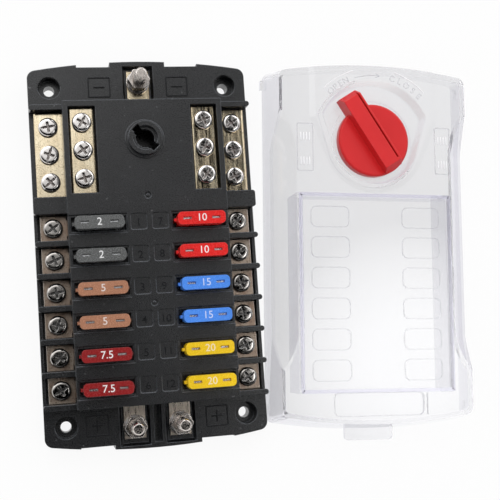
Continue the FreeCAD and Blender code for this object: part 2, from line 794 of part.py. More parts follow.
# Negative bar: one folded strip with a low pad outside and a raised pad inside, threaded for screws.
def make_negative_bar(name, side):
    gauge = g.bus_thickness
    outer_edge = half_base - g.bar_edge_inset
    low_under = bar_low_top - gauge
    high_under = bar_high_top - gauge
    lip_foot = bar_high_top - g.bar_lip
    section = [(outer_edge, g.base_height), (outer_edge, bar_low_top), (bar_step, bar_low_top),
               (bar_step, bar_high_top), (bar_inner_edge, bar_high_top), (bar_inner_edge, lip_foot),
               (bar_inner_edge + gauge, lip_foot), (bar_inner_edge + gauge, high_under),
               (bar_step - gauge, high_under), (bar_step - gauge, low_under),
               (outer_edge - gauge, low_under), (outer_edge - gauge, g.base_height)]
    body = strip(name + "_fold", [(across * side, up) for across, up in section], (bar_low, bar_high))

    def bend(edge):
        point = edge.Vertexes[0].Point
        along = abs(point.y - edge.Vertexes[-1].Point.y) > 1
        bends = ((outer_edge, bar_low_top), (bar_step, bar_high_top), (bar_inner_edge, bar_high_top))
        spots = [(abs(abs(point.x) - x.number) < 1e-4 and abs(point.z - z.number) < 1e-4) for x, z in bends]
        return along and any(spots)

    round_corners(body, g.bar_bend_round, bend)
    tab = block(name + "_tab", mirrored_pair(side, bar_step - gauge, bar_step),
                (bar_centre - g.bar_tab_length / 2, bar_centre + g.bar_tab_length / 2),
                (bus_foot, low_under + overlap))
    adds = [body, tab]
    bores = []
    for column, under, top in ((screw_column, low_under, bar_low_top),
                               (bar_high_column, high_under, bar_high_top)):
        for number, along in enumerate(bar_screws):
            tag = f"{name}_{round(top.number)}_{number}"
            adds.append(round_bar(tag + "_collar", column * side, along, (under - g.collar_depth, under),
                                  g.collar_diameter))
            bores.append(round_bar(tag + "_bore", column * side, along,
                                   (under - g.collar_depth - past, top + past),
                                   g.screw_diameter + g.collar_thread_gap * 2))
    keep(name, less(name, joined(name + "_solid", adds), bores))


# Fasteners.
def make_screws(name, places):
    solids = []
    for number, (across, along, seat) in enumerate(places):
        tag = f"{name}_{number}"
        shank = round_bar(tag + "_shank", across, along, (seat - g.screw_length, seat + overlap),
                          g.screw_diameter)
        rim = round_bar(tag + "_rim", across, along, (seat, seat + g.head_height / 2), g.head_diameter)
        crown = doc.addObject("Part::Cone", tag + "_crown")
        bind(crown, "Radius1", g.head_diameter / 2)
        bind(crown, "Radius2", g.head_diameter / 2 - g.head_height / 2)
        bind(crown, "Height", g.head_height / 2)
        move(crown, across, along, seat + g.head_height / 2)
        solids.append(joined(tag, [shank, rim, crown]))
    keep(name, group(name, solids))


def group(name, solids):
    result = doc.addObject("Part::Compound", name)
    result.Links = solids
    return result


def make_stud_sets():
    places = [(as_size(0), negative_stud), (-g.positive_stud_across, positive_stud),
              (g.positive_stud_across, positive_stud)]
    studs, nuts, springs, washers = [], [], [], []
    washer_top = bus_top + g.washer_height
    spring_top = washer_top + g.spring_washer_height
    nut_top = spring_top + g.nut_height
    bore = g.stud_diameter + g.stud_hole_gap
    for number, (across, along) in enumerate(places):
        shank = round_bar(f"stud_shank_{number}", across, along, (stud_foot, stud_tip - g.stud_point),
                          g.stud_diameter)
        tip = doc.addObject("Part::Cone", f"stud_tip_{number}")
        bind(tip, "Radius1", g.stud_diameter / 2)
        bind(tip, "Radius2", g.stud_diameter / 2 - g.stud_point)
        bind(tip, "Height", g.stud_point)
        move(tip, across, along, stud_tip - g.stud_point)
        studs.append(joined(f"stud_{number}", [shank, tip]))
        flat = round_bar(f"washer_{number}", across, along, (bus_top, washer_top), g.washer_diameter)
        flat_bore = round_bar(f"washer_bore_{number}", across, along,
                              (bus_top - past, washer_top + past), bore)
        washers.append(less(f"flat_washer_{number}", flat, [flat_bore]))
        ring = round_bar(f"spring_{number}", across, along, (washer_top, spring_top),
                         g.spring_washer_diameter)
        ring_bore = round_bar(f"spring_bore_{number}", across, along,
                              (washer_top - past, spring_top + past), bore)
        slit = block(f"spring_slit_{number}", (across, across + g.spring_washer_diameter),
                     (along - g.spring_washer_slit / 2, along + g.spring_washer_slit / 2),
                     (washer_top - past, spring_top + past))
        springs.append(less(f"spring_washer_{number}", ring, [ring_bore, slit]))
        hexagon = doc.addObject("Part::Prism", f"nut_{number}")
        hexagon.Polygon = 6
        bind(hexagon, "Circumradius", g.nut_flats / math.sqrt(3))
        bind(hexagon, "Height", g.nut_height)
        move(hexagon, across, along, spring_top)
        cap = doc.addObject("Part::Cone", f"nut_cap_{number}")
        bind(cap, "Radius1", g.nut_flats / 2 + g.nut_height + g.nut_crown)
        bind(cap, "Radius2", g.nut_flats / 2 + g.nut_crown)
        bind(cap, "Height", g.nut_height)
        move(cap, across, along, spring_top)
        crowned = doc.addObject("Part::MultiCommon", f"nut_crowned_{number}")
        crowned.Shapes = [hexagon, cap]
        nut_bore = round_bar(f"nut_bore_{number}", across, along, (spring_top - past, nut_top + past), bore)
        nuts.append(less(f"stud_nut_{number}", crowned, [nut_bore]))
    keep("power_studs", group("power_studs", studs))
    keep("stud_flat_washers", group("stud_flat_washers", washers))
    keep("stud_spring_washers", group("stud_spring_washers", springs))
    keep("stud_nuts", group("stud_nuts", nuts))


# Blade fuse: a moulded body round one stamped element, whose two blades stand in the clips.
def make_fuse(number, side, along):
    column = fuse_column * side
    tag = f"fuse_{number}"
    half_blade = g.blade_width / 2
    outer, inner = g.blade_offset + half_blade, g.blade_offset - half_blade
    slot_floor = fuse_top - g.test_slot_depth
    tab_outer = g.test_slot_offset + g.test_slot_length / 2
    tab_inner = g.test_slot_offset - g.test_slot_length / 2
    bevel_up = blade_tip + g.blade_bevel_up
    right = [(inner, fuse_link_foot), (inner, bevel_up), (inner + g.blade_bevel_across, blade_tip),
             (outer - g.blade_bevel_across, blade_tip), (outer, bevel_up), (outer, fuse_shoulder),
             (tab_outer, fuse_shoulder), (tab_outer, slot_floor), (tab_inner, slot_floor),
             (tab_inner, fuse_link_top)]
    mirrored = [(-across, up) for across, up in reversed(right)]
    section = [(column + across, up) for across, up in right + mirrored]
    element = strip(tag + "_stamping", section,
                    (along - g.blade_thickness / 2, along + g.blade_thickness / 2))
    keep(f"fuse_element_{number}", element)
    head_foot = fuse_top - g.fuse_head_height
    half_width, half_depth = g.fuse_width / 2, g.fuse_thickness / 2
    head = slab(tag + "_head", rounded((column - half_width, column + half_width),
                                       (along - half_depth, along + half_depth), g.fuse_corner_round),
                (head_foot, fuse_top))
    inset = g.fuse_skirt_inset
    skirt = slab(tag + "_skirt", rounded((column - half_width + inset, column + half_width - inset),
                                         (along - half_depth + inset, along + half_depth - inset),
                                         g.fuse_corner_round / 2), (fuse_seat, head_foot + overlap))
    rib_end = half_width + g.fuse_rib_reach
    rib = block(tag + "_rib", (column - rib_end, column + rib_end),
                (along - g.fuse_rib_width / 2, along + g.fuse_rib_width / 2),
                (fuse_seat, head_foot + overlap))
    slots = []
    for end in (-1, 1):
        low, high = mirrored_pair(end, tab_inner, tab_outer)
        slots.append(block(f"{tag}_test_slot_{end + 1}", (column + low, column + high),
                           (along - g.test_slot_width / 2, along + g.test_slot_width / 2),
                           (slot_floor, fuse_top + past)))
    keep(f"fuse_body_{number}", less(f"fuse_body_{number}", joined(tag + "_solid", [head, skirt, rib]),
                                     slots + [element]))


# Cover: a clear shell, drawn from its own rim with its middle at the origin, then laid beside the block.
def cover_loft(name, lower, upper, foot, top):
    body = doc.addObject("PartDesign::Body", name)
    sketches = []
    for label, corners, height in (("lower", lower, foot), ("upper", upper, top)):
        sketch = body.newObject("Sketcher::SketchObject", f"{name}_{label}")
        sketch.AttachmentSupport = (plane_of(body, "XY_Plane"), [""])
        sketch.MapMode = "FlatFace"
        bind(sketch, "AttachmentOffset.Base.z", height)
        draw(sketch, corners)
        sketches.append(sketch)
    loft = body.newObject("PartDesign::AdditiveLoft", name + "_loft")
    loft.Profile = sketches[0]
    loft.Sections = [sketches[1]]
    loft.Ruled = True
    return body


def cover_outline(half_width, end_middle, end_side, corner):
    # Straight sides, end edges that bow outwards and rounded corners between them.
    radius = arc_radius(half_width * 2, end_middle - end_side)
    near = half_width - corner
    bow = end_middle - radius + root(radius * radius - near * near)
    side = end_side - corner
    turn = corner * g.cover_corner_ease
    return [(-near, -bow, radius), (near, -bow, turn), (half_width, -side), (half_width, side, turn),
            (near, bow, radius), (-near, bow, turn), (-half_width, side), (-half_width, -side, turn)]


def root(size):
    return Size(math.sqrt(size.number), f"sqrt({size.text})")


def cover_form(name, inset, extra):
    # The outer form, with some extra height for the pad, or the hollow when it is drawn one wall inside.
    inset, extra = as_size(inset), as_size(extra)
    foot = as_size(0) if inset.number == 0 else -past
    lower_half = half_base - inset
    # The sides lean on by the same slope up to the extra height.
    share = 1 + extra / g.cover_height
    upper_half = half_base - g.cover_side_lean * share - inset
    upper_drop = g.cover_end_lean * share + inset
    corner = g.base_corner_round - inset
    lower = cover_outline(lower_half, base_end - inset, side_end - inset, corner)
    upper = cover_outline(upper_half, base_end - upper_drop, side_end - upper_drop, corner)
    body = cover_loft(name, lower, upper, foot, g.cover_height - inset + extra)
    run = half_base - g.waist_foot_inset - half_waist
    # One wall measured square to the sloping waist is this much measured across.
    shift = inset * slope_factor(g.waist_depth, run)
    scoops = [waist_scoop(f"{name}_waist_{side + 1}", side, run, shift) for side in (-1, 1)]
    return less(name + "_form", body, scoops)


def slope_factor(rise, run):
    number = math.hypot(rise.number, run.number) / rise.number
    text = f"(sqrt({rise.text} * {rise.text} + {run.text} * {run.text}) / {rise.text})"
    return Size(number, text)


def waist_outline(near, share, shift):
    # The waist's plan: straight along the skirt, with bowed ends that run out to the sides.
    far = half_base + g.waist_overreach
    out = (half_base - g.cover_side_lean - half_waist) * share
    upper_run, lower_run = g.waist_upper_run * share, g.waist_lower_run * share
    upper = side_end - g.waist_upper_inset - g.waist_upper_run + shift
    lower = g.waist_lower_inset + g.waist_lower_run - side_end - shift
    return [(near, lower, bowed(out, lower_run)), (near + out, lower - lower_run),
            (far, lower - lower_run), (far, upper + upper_run),
            (near + out, upper + upper_run, bowed(out, upper_run)), (near, upper)]


def bowed(across, along):
    # The radius of an arc that rises by a small share of its chord.
    chord = root(across * across + along * along)
    return arc_radius(chord, chord * g.waist_end_rise)


def mirrored(corners):
    # The same outline on the other side of the middle: each arc stays on its own side of the outline.
    return [(-corners[number][0], corners[number][1]) + corners[number - 1][2:]
            for number in range(len(corners) - 1, -1, -1)]


def waist_scoop(name, side, run, shift):
    # The long sloping hollow in each side of the cover.
    step = run / g.waist_depth * past
    top = waist_outline(half_waist - shift - step, as_size(1), shift)
    low = waist_outline(half_waist + run - shift, g.waist_end_share, shift)
    if side < 0:
        top, low = mirrored(top), mirrored(low)
    return cover_loft(name, low, top, g.cover_height - g.waist_depth, g.cover_height + past)


def around_knob(angle, radius):
    return turned(angle, "cos") * radius, post_along + turned(angle, "sin") * radius


def pad_outline(grow):
    # A raised pad, bell shaped in plan: it comes down from the cover's upper end and closes round the knob.
    across = g.pad_half_width + grow
    shoulder = post_along + g.pad_shoulder
    end = base_end + past
    right = around_knob(90 - g.pad_round_angle, g.pad_round + grow)
    left = around_knob(90 + g.pad_round_angle, g.pad_round + grow)
    return [(across, end), (-across, end), (-across, shoulder), left + (g.pad_round + grow,), right,
            (across, shoulder)]


def recess_outline(grow):
    # A circle round the knob that opens into a fan above it for the pointer's swing.
    small, large = g.recess_round + grow, g.recess_fan_round + grow
    points = []
    for angle, radius in ((90 - g.recess_fan_angle, large), (90 + g.recess_fan_angle, large),
                          (90 + g.recess_side_angle, small), (90 - g.recess_side_angle, small)):
        points.append(around_knob(angle, radius))
    return [points[0] + (large,), points[1], points[2] + (small,), points[3]]


def make_cover():
    face_under = g.cover_height - g.cover_wall
    pad_top = g.cover_height + g.pad_height
    # The outer form is as high as the pad, and is then taken down to the face all round it.
    pad = cover_loft("pad", pad_outline(g.pad_slope), pad_outline(as_size(0)), g.cover_height, pad_top)
    layer = block("pad_layer", (-g.base_width, g.base_width), (-g.base_length, g.base_length),
                  (g.cover_height, pad_top + past))
    surround = less("pad_surround", layer, [pad])
    outside = cover_form("cover_outside", 0, g.pad_height)
    shell = less("cover_shell", outside, [cover_form("cover_inside", g.cover_wall, 0), surround])
    skirt_low = deck_lower_end - g.skirt_gap - g.cover_wall
    skirt_high = row_top + g.skirt_upper_over
    skirt_outside = block("skirt_outside", (-half_skirt, half_skirt), (skirt_low, skirt_high),
                          (0, face_under + overlap))
    skirt_inside = block("skirt_inside", (-half_skirt + g.cover_wall, half_skirt - g.cover_wall),
                         (skirt_low + g.cover_wall, skirt_high - g.cover_wall), (-past, face_under + past))
    # The skirt's upper side stops short, because it crosses over the deck when the cover is on.
    skirt_step = block("skirt_step", (-half_skirt + g.cover_wall, half_skirt - g.cover_wall),
                       (skirt_high - g.cover_wall - past, skirt_high + past),
                       (-past, g.cover_height - g.skirt_bar_depth))
    skirt = less("cover_skirt", skirt_outside, [skirt_inside, skirt_step])
    # Recess of the knob: a round well, and above it a shelf that widens into a fan for the pointer's swing.
    shelf = g.recess_floor_height + g.recess_shelf_rise
    cup = cover_loft("recess_cup", recess_outline(g.recess_wall),
                     recess_outline(g.recess_wall + g.recess_slope),
                     g.recess_floor_height - g.recess_wall, face_under + overlap)
    adds = [shell, skirt, cup, latch_tab()]
    for side in (-1, 1):
        for end in (-1, 1):
            along = (side_end - g.base_corner_round - g.nub_length, side_end - g.base_corner_round)
            adds.append(block(f"nub_{side + 1}{end + 1}",
                              mirrored_pair(side, half_base - past, half_base + g.nub_reach),
                              mirrored_pair(end, along[0], along[1]), (0, g.nub_height)))
    fan_top = g.recess_slope * (1 + past / (pad_top - shelf))
    finger_low = skirt_low - g.finger_recess_length
    finger = tongue_outline(g.finger_recess_width / 2, finger_low, skirt_low, g.finger_recess_round)
    cuts = [cover_loft("recess_fan", recess_outline(as_size(0)), recess_outline(fan_top),
                       shelf, pad_top + past),
            round_bar("recess_well", 0, post_along, (g.recess_floor_height, shelf + past),
                      g.recess_round * 2),
            block("window", (-half_skirt + g.window_border, half_skirt - g.window_border),
                  (skirt_low + g.window_border, skirt_high - g.window_border),
                  (g.cover_height - g.window_drop, g.cover_height + past)),
            slab("finger_recess", finger,
                 (g.cover_height - g.finger_recess_depth, g.cover_height + past)),
            round_bar("spindle_hole", 0, post_along, (0, g.cover_height),
                      g.spindle_diameter + g.spindle_gap * 2)]
    lay_beside(keep("cover", less("cover", joined("cover_solid", adds), cuts)), 0, 0, 0)


def tongue_outline(half_width, low, high, radius):
    # A rectangle whose two lower corners are rounded.
    return [(-half_width + radius, low), (half_width - radius, low, radius), (half_width, low + radius),
            (half_width, high), (-half_width, high), (-half_width, low + radius, radius)]


def latch_tab():
    corners = tongue_outline(g.latch_width / 2, -base_end - g.latch_reach, g.latch_root - base_end,
                             g.latch_round)
    return slab("latch_tab", corners, (g.latch_rise, g.latch_rise + g.latch_thickness))


def lay_beside(thing, across, along, turn):
    # Puts a piece drawn in the cover's own frame beside the block.
    across, along, turn = as_size(across), as_size(along), as_size(turn)
    cosine, sine = turned(g.cover_turn, "cos"), turned(g.cover_turn, "sin")
    # The cover's middle lies clear of the block by half its own turned width and length.
    middle = half_base + g.cover_lay_gap + (half_base + g.nub_reach) * cosine - base_end * sine
    bind(thing, "Placement.Base.x", middle + across * cosine - along * sine)
    bind(thing, "Placement.Base.y", g.cover_along + across * sine + along * cosine)
    thing.Placement.Rotation = FreeCAD.Rotation(FreeCAD.Vector(0, 0, 1), 1)
    bind(thing, "Placement.Rotation.Angle", g.cover_turn + turn)


# Lock knob: a disc with a pointer bar, and a spindle through the cover into the key below.
def make_knob():
    disc_foot = g.recess_floor_height + g.knob_floor_gap
    disc_top = disc_foot + g.knob_disc_height
    key_top = g.recess_floor_height - g.recess_wall - g.knob_floor_gap
    disc = round_bar("knob_disc", 0, 0, (disc_foot, disc_top - g.knob_edge), g.knob_diameter)
    edge = doc.addObject("Part::Cone", "knob_edge_slope")
    bind(edge, "Radius1", g.knob_diameter / 2)
    bind(edge, "Radius2", g.knob_diameter / 2 - g.knob_edge)
    bind(edge, "Height", g.knob_edge)
    move(edge, 0, 0, disc_top - g.knob_edge)
    # The pointer is drawn along X, with slanting ends, clear of the recess's shelf.
    half_pointer = g.pointer_width / 2
    foot = g.recess_floor_height + g.recess_shelf_rise + g.knob_floor_gap
    pointer_top = disc_top + g.pointer_height
    slant = pointer_top - g.pointer_end_drop
    profile = [(-g.pointer_tail, foot), (g.pointer_reach, foot), (g.pointer_reach, slant),
               (g.pointer_reach - g.pointer_end_slope, pointer_top),
               (g.pointer_end_slope - g.pointer_tail, pointer_top), (-g.pointer_tail, slant)]
    pointer = strip("knob_pointer", profile, (-half_pointer, half_pointer))
    # A groove along one side leaves a thin ridge.
    ridge = g.pointer_ridge - half_pointer
    groove = block("pointer_groove",
                   (g.pointer_groove_heel - g.pointer_tail, g.pointer_reach - g.pointer_groove_tip),
                   (ridge, ridge + g.pointer_groove_width),
                   (pointer_top - g.pointer_groove_depth, pointer_top + past))
    spindle = round_bar("knob_spindle", 0, 0, (key_top, disc_foot + past), g.spindle_diameter)
    spigot = round_bar("knob_spigot", 0, 0, (g.spigot_foot, key_top + past), g.spigot_diameter)
    knob = less("lock_knob", joined("knob_solid", [disc, edge, pointer, spindle, spigot]), [groove])
    lay_beside(keep("lock_knob", knob), 0, post_along, g.pointer_angle + 90)
    # Key: clipped on the spigot under the cover, its lugs turn below the post's ledge.
    flange = round_bar("key_flange", 0, 0, (key_top - g.key_flange_height, key_top), g.key_flange_diameter)
    barrel = round_bar("key_barrel", 0, 0, (g.key_foot, key_top), g.key_barrel_diameter)
    lugs = block("key_lugs", (-g.lug_length / 2, g.lug_length / 2), (-g.lug_width / 2, g.lug_width / 2),
                 (g.key_foot, g.key_foot + g.lug_height))
    socket = round_bar("key_socket", 0, 0, (g.spigot_foot, key_top + past), g.spigot_diameter)
    key = less("lock_key", joined("key_solid", [flange, barrel, lugs]), [socket])
    lay_beside(keep("lock_key", key), 0, post_along, g.key_angle)


make_base()
make_deck()
make_negative_bus()
make_negative_bar("negative_bar_left", -1)
make_negative_bar("negative_bar_right", 1)
make_positive_bus("positive_bus_left", -1)
make_positive_bus("positive_bus_right", 1)
number = 0
output_screw_places = []
for side in (-1, 1):
    for along in row_places:
        number += 1
        make_terminal(number, side, along)
        make_fuse(number, side, along)
        output_screw_places.append((screw_column * side, along, plate_top))
make_screws("output_screws", output_screw_places)
negative_screw_places = []
for side in (-1, 1):
    for along in bar_screws:
        negative_screw_places.append((screw_column * side, along, bar_low_top))
        negative_screw_places.append((bar_high_column * side, along, bar_high_top))
make_screws("negative_screws", negative_screw_places)
make_stud_sets()
make_cover()
make_knob()

doc.recompute()
broken = [thing.Name for thing in doc.Objects if "Invalid" in thing.State or "Error" in thing.State]
broken += [name for name, thing in nodes.items() if thing.Shape.isNull() or not thing.Shape.isValid()]
if broken:
    raise RuntimeError("did not rebuild: " + ", ".join(broken))
for name, thing in nodes.items():
    thing.Shape.exportStep(f"parts/{name}.step")
print(f"{len(nodes)} nodes, {sum(len(thing.Shape.Solids) for thing in nodes.values())} solids")
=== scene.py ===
import json
import math
import bpy
from mathutils import Matrix, Vector


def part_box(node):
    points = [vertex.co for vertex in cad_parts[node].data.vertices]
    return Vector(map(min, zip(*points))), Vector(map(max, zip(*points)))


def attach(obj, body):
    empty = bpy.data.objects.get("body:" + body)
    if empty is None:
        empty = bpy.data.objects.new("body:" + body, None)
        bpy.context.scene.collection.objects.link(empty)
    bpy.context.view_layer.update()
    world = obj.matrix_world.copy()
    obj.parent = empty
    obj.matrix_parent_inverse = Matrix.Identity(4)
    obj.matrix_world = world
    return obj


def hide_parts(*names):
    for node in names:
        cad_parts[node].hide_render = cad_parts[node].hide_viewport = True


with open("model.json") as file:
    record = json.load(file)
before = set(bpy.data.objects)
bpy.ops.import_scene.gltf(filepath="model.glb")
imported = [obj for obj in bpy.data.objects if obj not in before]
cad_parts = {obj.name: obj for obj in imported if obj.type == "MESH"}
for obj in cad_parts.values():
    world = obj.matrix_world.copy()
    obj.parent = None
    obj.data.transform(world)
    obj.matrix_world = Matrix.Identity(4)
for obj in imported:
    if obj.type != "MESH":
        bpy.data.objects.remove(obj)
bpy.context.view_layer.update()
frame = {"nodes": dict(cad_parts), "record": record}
nodes = frame["nodes"]
mm = 0.001
print("frame loaded:", len(nodes), "nodes")


def boxOf(name):
    # A node's lowest and highest corners in millimetres.
    low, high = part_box(name)
    return [value / mm for value in low], [value / mm for value in high]


def middleOf(name):
    low, high = boxOf(name)
    return [(first + last) / 2 for first, last in zip(low, high)]


def islandsOf(name):
    # The boxes of the loose solids in one node: triangles that share a corner belong together.
    mesh = nodes[name].data
    spots = [tuple(round(value / mm, 3) for value in vertex.co) for vertex in mesh.vertices]
    leader = {spot: spot for spot in spots}

    def find(spot):
        while leader[spot] != spot:
            leader[spot] = leader[leader[spot]]
            spot = leader[spot]
        return spot

    for face in mesh.polygons:
        first = find(spots[face.vertices[0]])
        for corner in face.vertices[1:]:
            leader[find(spots[corner])] = first
    groups = {}
    for spot in leader:
        groups.setdefault(find(spot), []).append(spot)
    return [([min(part) for part in zip(*group)], [max(part) for part in zip(*group)])
            for group in groups.values()]


# Places that the pieces share, in millimetres, read from the frame, but for three steps of the mouldings.
rowCount = 6
fusePlaces = [middleOf(f"fuse_body_{number}")[:2] for number in range(1, 2 * rowCount + 1)]
fuseTop = boxOf("fuse_body_1")[1][2]
baseTop = boxOf("base")[1][2]
postHeight = 3.2  # the lock post above the deck
padHeight = 1.0  # the raised pad above the cover's face
windowDrop = 0.8  # the label window below that face
deckTop = boxOf("fuse_deck")[1][2] - postHeight
padTop = boxOf("cover")[1][2]
# The cover's relief is laid out with the cover straight, and then turned and moved with it.
cover = {"turn": -3.5, "knobY": 43.9, "face": padTop - padHeight, "window": padTop - padHeight - windowDrop}
knobAxis = middleOf("lock_key")
coverPlace = (Matrix.Translation((knobAxis[0] * mm, knobAxis[1] * mm, 0))
              @ Matrix.Rotation(math.radians(cover["turn"]), 4, "Z")
              @ Matrix.Translation((0, -cover["knobY"] * mm, 0)))


def deselectAll():
    if bpy.context.mode != "OBJECT":
        bpy.ops.object.mode_set(mode="OBJECT")
    bpy.ops.object.select_all(action="DESELECT")


def activate(piece):
    deselectAll()
    piece.select_set(True)
    bpy.context.view_layer.objects.active = piece


def startEdit(piece, kind="FACE"):
    activate(piece)
    bpy.ops.object.mode_set(mode="EDIT")
    bpy.ops.mesh.select_mode(type=kind)
    bpy.ops.mesh.select_all(action="DESELECT")


def endEdit():
    bpy.ops.object.mode_set(mode="OBJECT")


def pickFaces(piece, test):
    # Selects faces by their place or normal, with the piece in edit mode.
    bpy.ops.mesh.select_mode(type="FACE")
    bpy.ops.mesh.select_all(action="DESELECT")
    bpy.ops.object.mode_set(mode="OBJECT")
    for face in piece.data.polygons:
        face.select = test(face.center, face.normal)
    bpy.ops.object.mode_set(mode="EDIT")


def pickEdges(piece, test):
    bpy.ops.mesh.select_mode(type="EDGE")
    bpy.ops.mesh.select_all(action="DESELECT")
    bpy.ops.object.mode_set(mode="OBJECT")
    corners = piece.data.vertices
    for edge in piece.data.edges:
        edge.select = test(corners[edge.vertices[0]].co, corners[edge.vertices[1]].co)
    bpy.ops.object.mode_set(mode="EDIT")


def applyPlace(piece):
    activate(piece)
    bpy.ops.object.transform_apply(location=True, rotation=True, scale=True)
    return piece


def useModifier(piece, kind, **values):
    activate(piece)
    modifier = piece.modifiers.new(kind.title(), kind)
    for name, value in values.items():
        setattr(modifier, name, value)
    bpy.ops.object.modifier_apply(modifier=modifier.name)


def mendNormals(piece):
    startEdit(piece)
    bpy.ops.mesh.select_all(action="SELECT")
    bpy.ops.mesh.remove_doubles(threshold=1e-6)
    bpy.ops.mesh.normals_make_consistent(inside=False)
    endEdit()
    return piece


def copyOf(piece, place):
    # A copy with its own mesh, moved by a matrix.
    twin = piece.copy()
    twin.data = piece.data.copy()
    bpy.context.scene.collection.objects.link(twin)
    twin.data.transform(place)
    return twin


def joinAll(name, pieces):
    activate(pieces[0])
    for piece in pieces[1:]:
        piece.select_set(True)
    if len(pieces) > 1:
        bpy.ops.object.join()
    result = bpy.context.view_layer.objects.active
    result.name = name
    result.data.name = name
    return result


def dress(piece, material, smooth=30):
    piece.data.materials.clear()
    piece.data.materials.append(material)
    activate(piece)
    bpy.ops.object.shade_smooth_by_angle(angle=math.radians(smooth))
    return piece


def finishPiece(piece, body):
    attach(piece, body)


def newGroup(name, inputs, outputs):
    group = bpy.data.node_groups.new(name, "ShaderNodeTree")
    for label, kind, value in inputs:
        socket = group.interface.new_socket(label, in_out="INPUT", socket_type="NodeSocket" + kind)
        socket.default_value = value
    for label, kind in outputs:
        group.interface.new_socket(label, in_out="OUTPUT", socket_type="NodeSocket" + kind)
    return group, group.nodes.new("NodeGroupInput"), group.nodes.new("NodeGroupOutput")


def plug(tree, socket, value):
    # Another node's output is linked to the socket, and anything else becomes its value.
    if isinstance(value, bpy.types.NodeSocket):
        tree.links.new(value, socket)
    else:
        socket.default_value = value


def addNode(tree, kind, values=None, **settings):
    node = tree.nodes.new("ShaderNode" + kind)
    for name, value in settings.items():
        setattr(node, name, value)
    for key, value in (values or {}).items():
        plug(tree, node.inputs[key], value)
    return node


def nodeOf(tree, kind):
    return next(node for node in tree.nodes if node.type == kind)


def calculate(tree, operation, first, second=0.5, clamp=False):
    node = addNode(tree, "Math", {0: first, 1: second}, operation=operation, use_clamp=clamp)
    return node.outputs[0]


def dotProduct(tree, first, second):
    return addNode(tree, "VectorMath", {0: first, 1: second}, operation="DOT_PRODUCT").outputs["Value"]


def partOf(tree, vector, axis):
    return addNode(tree, "SeparateXYZ", {0: vector}).outputs[axis]


def mixColour(tree, factor, first, second):
    return addNode(tree, "Mix", {0: factor, 6: first, 7: second}, data_type="RGBA").outputs[2]


def mixLevel(tree, factor, first, second):
    return addNode(tree, "Mix", {0: factor, 2: first, 3: second}, data_type="FLOAT").outputs[0]


def spread(tree, value, low, high, newLow=0.0, newHigh=1.0):
    node = addNode(tree, "MapRange", {"Value": value, "From Min": low, "From Max": high,
                                      "To Min": newLow, "To Max": newHigh})
    return node.outputs["Result"]


def objectPoint(tree):
    return addNode(tree, "TexCoord").outputs["Object"]


usualNoise = (0.3, 0.7)  # most of a noise's values lie between these
grainLook = {"fine": 2400.0, "height": 0.00008, "cloud": 55.0, "speck": 620.0, "speckRange": (0.74, 0.80),
             "gloss": 0.06}


def makeGrainGroup():
    # Fine moulded grain with slow cloudy tone and a few pale dust specks.
    group, start, end = newGroup("mouldedGrain",
                                 [("Point", "Vector", (0, 0, 0)), ("Grain", "Float", grainLook["fine"]),
                                  ("Depth", "Float", 0.35), ("Dust", "Float", 0.5)],
                                 [("Normal", "Vector"), ("Tone", "Float"), ("Specks", "Float"),
                                  ("Gloss", "Float")])
    point = start.outputs["Point"]
    fine = addNode(group, "TexNoise", {"Vector": point, "Scale": start.outputs["Grain"], "Detail": 3.0})
    bump = addNode(group, "Bump", {"Strength": start.outputs["Depth"], "Distance": grainLook["height"],
                                   "Height": fine.outputs["Fac"]})
    slow = addNode(group, "TexNoise", {"Vector": point, "Scale": grainLook["cloud"], "Detail": 4.0})
    speckNoise = addNode(group, "TexNoise", {"Vector": point, "Scale": grainLook["speck"], "Detail": 1.0})
    specks = calculate(group, "MULTIPLY", spread(group, speckNoise.outputs["Fac"], *grainLook["speckRange"]),
                       start.outputs["Dust"])
    gloss = spread(group, fine.outputs["Fac"], *usualNoise, -grainLook["gloss"], grainLook["gloss"])
    plug(group, end.inputs["Normal"], bump.outputs["Normal"])
    plug(group, end.inputs["Tone"], spread(group, slow.outputs["Fac"], *usualNoise))
    plug(group, end.inputs["Specks"], specks)
    plug(group, end.inputs["Gloss"], gloss)
    return group


edgeWearAndHighlightLook = {"radius": 0.0003, "reach": 0.17, "litSide": (-0.12, 0.35), "litShare": (0.1, 1.7)}


def makeWearGroup():
    # Softened edges: the rounded normal and a mask of where it leaves the flat faces. The materials fill the
    # mask with a lighter edge colour, partly wear and partly painted highlight. Lit gives more of the mask to
    # the edges that look to the upper end, where the light comes from: a painted highlight on the lit edges.
    group, start, end = newGroup("edgeWearAndHighlight",
                                 [("Radius", "Float", edgeWearAndHighlightLook["radius"]),
                                  ("Reach", "Float", edgeWearAndHighlightLook["reach"]), ("Lit", "Float", 0.0)],
                                 [("Normal", "Vector"), ("Edge", "Float")])
    soft = addNode(group, "Bevel", {"Radius": start.outputs["Radius"]}, samples=4).outputs["Normal"]
    plain = addNode(group, "NewGeometry").outputs["Normal"]
    away = calculate(group, "SUBTRACT", 1.0, dotProduct(group, soft, plain))
    mask = calculate(group, "DIVIDE", away, start.outputs["Reach"], clamp=True)
    towards = spread(group, partOf(group, soft, "Y"), *edgeWearAndHighlightLook["litSide"], *edgeWearAndHighlightLook["litShare"])
    share = mixLevel(group, start.outputs["Lit"], 1.0, towards)
    plug(group, end.inputs["Normal"], soft)
    plug(group, end.inputs["Edge"], calculate(group, "MULTIPLY", mask, share, clamp=True))
    return group


metalLook = {"height": 0.00004, "cloud": 190.0, "stainRange": (0.35, 0.7), "pit": 1500.0,
             "pitRange": (0.56, 0.66), "gloss": 0.07}


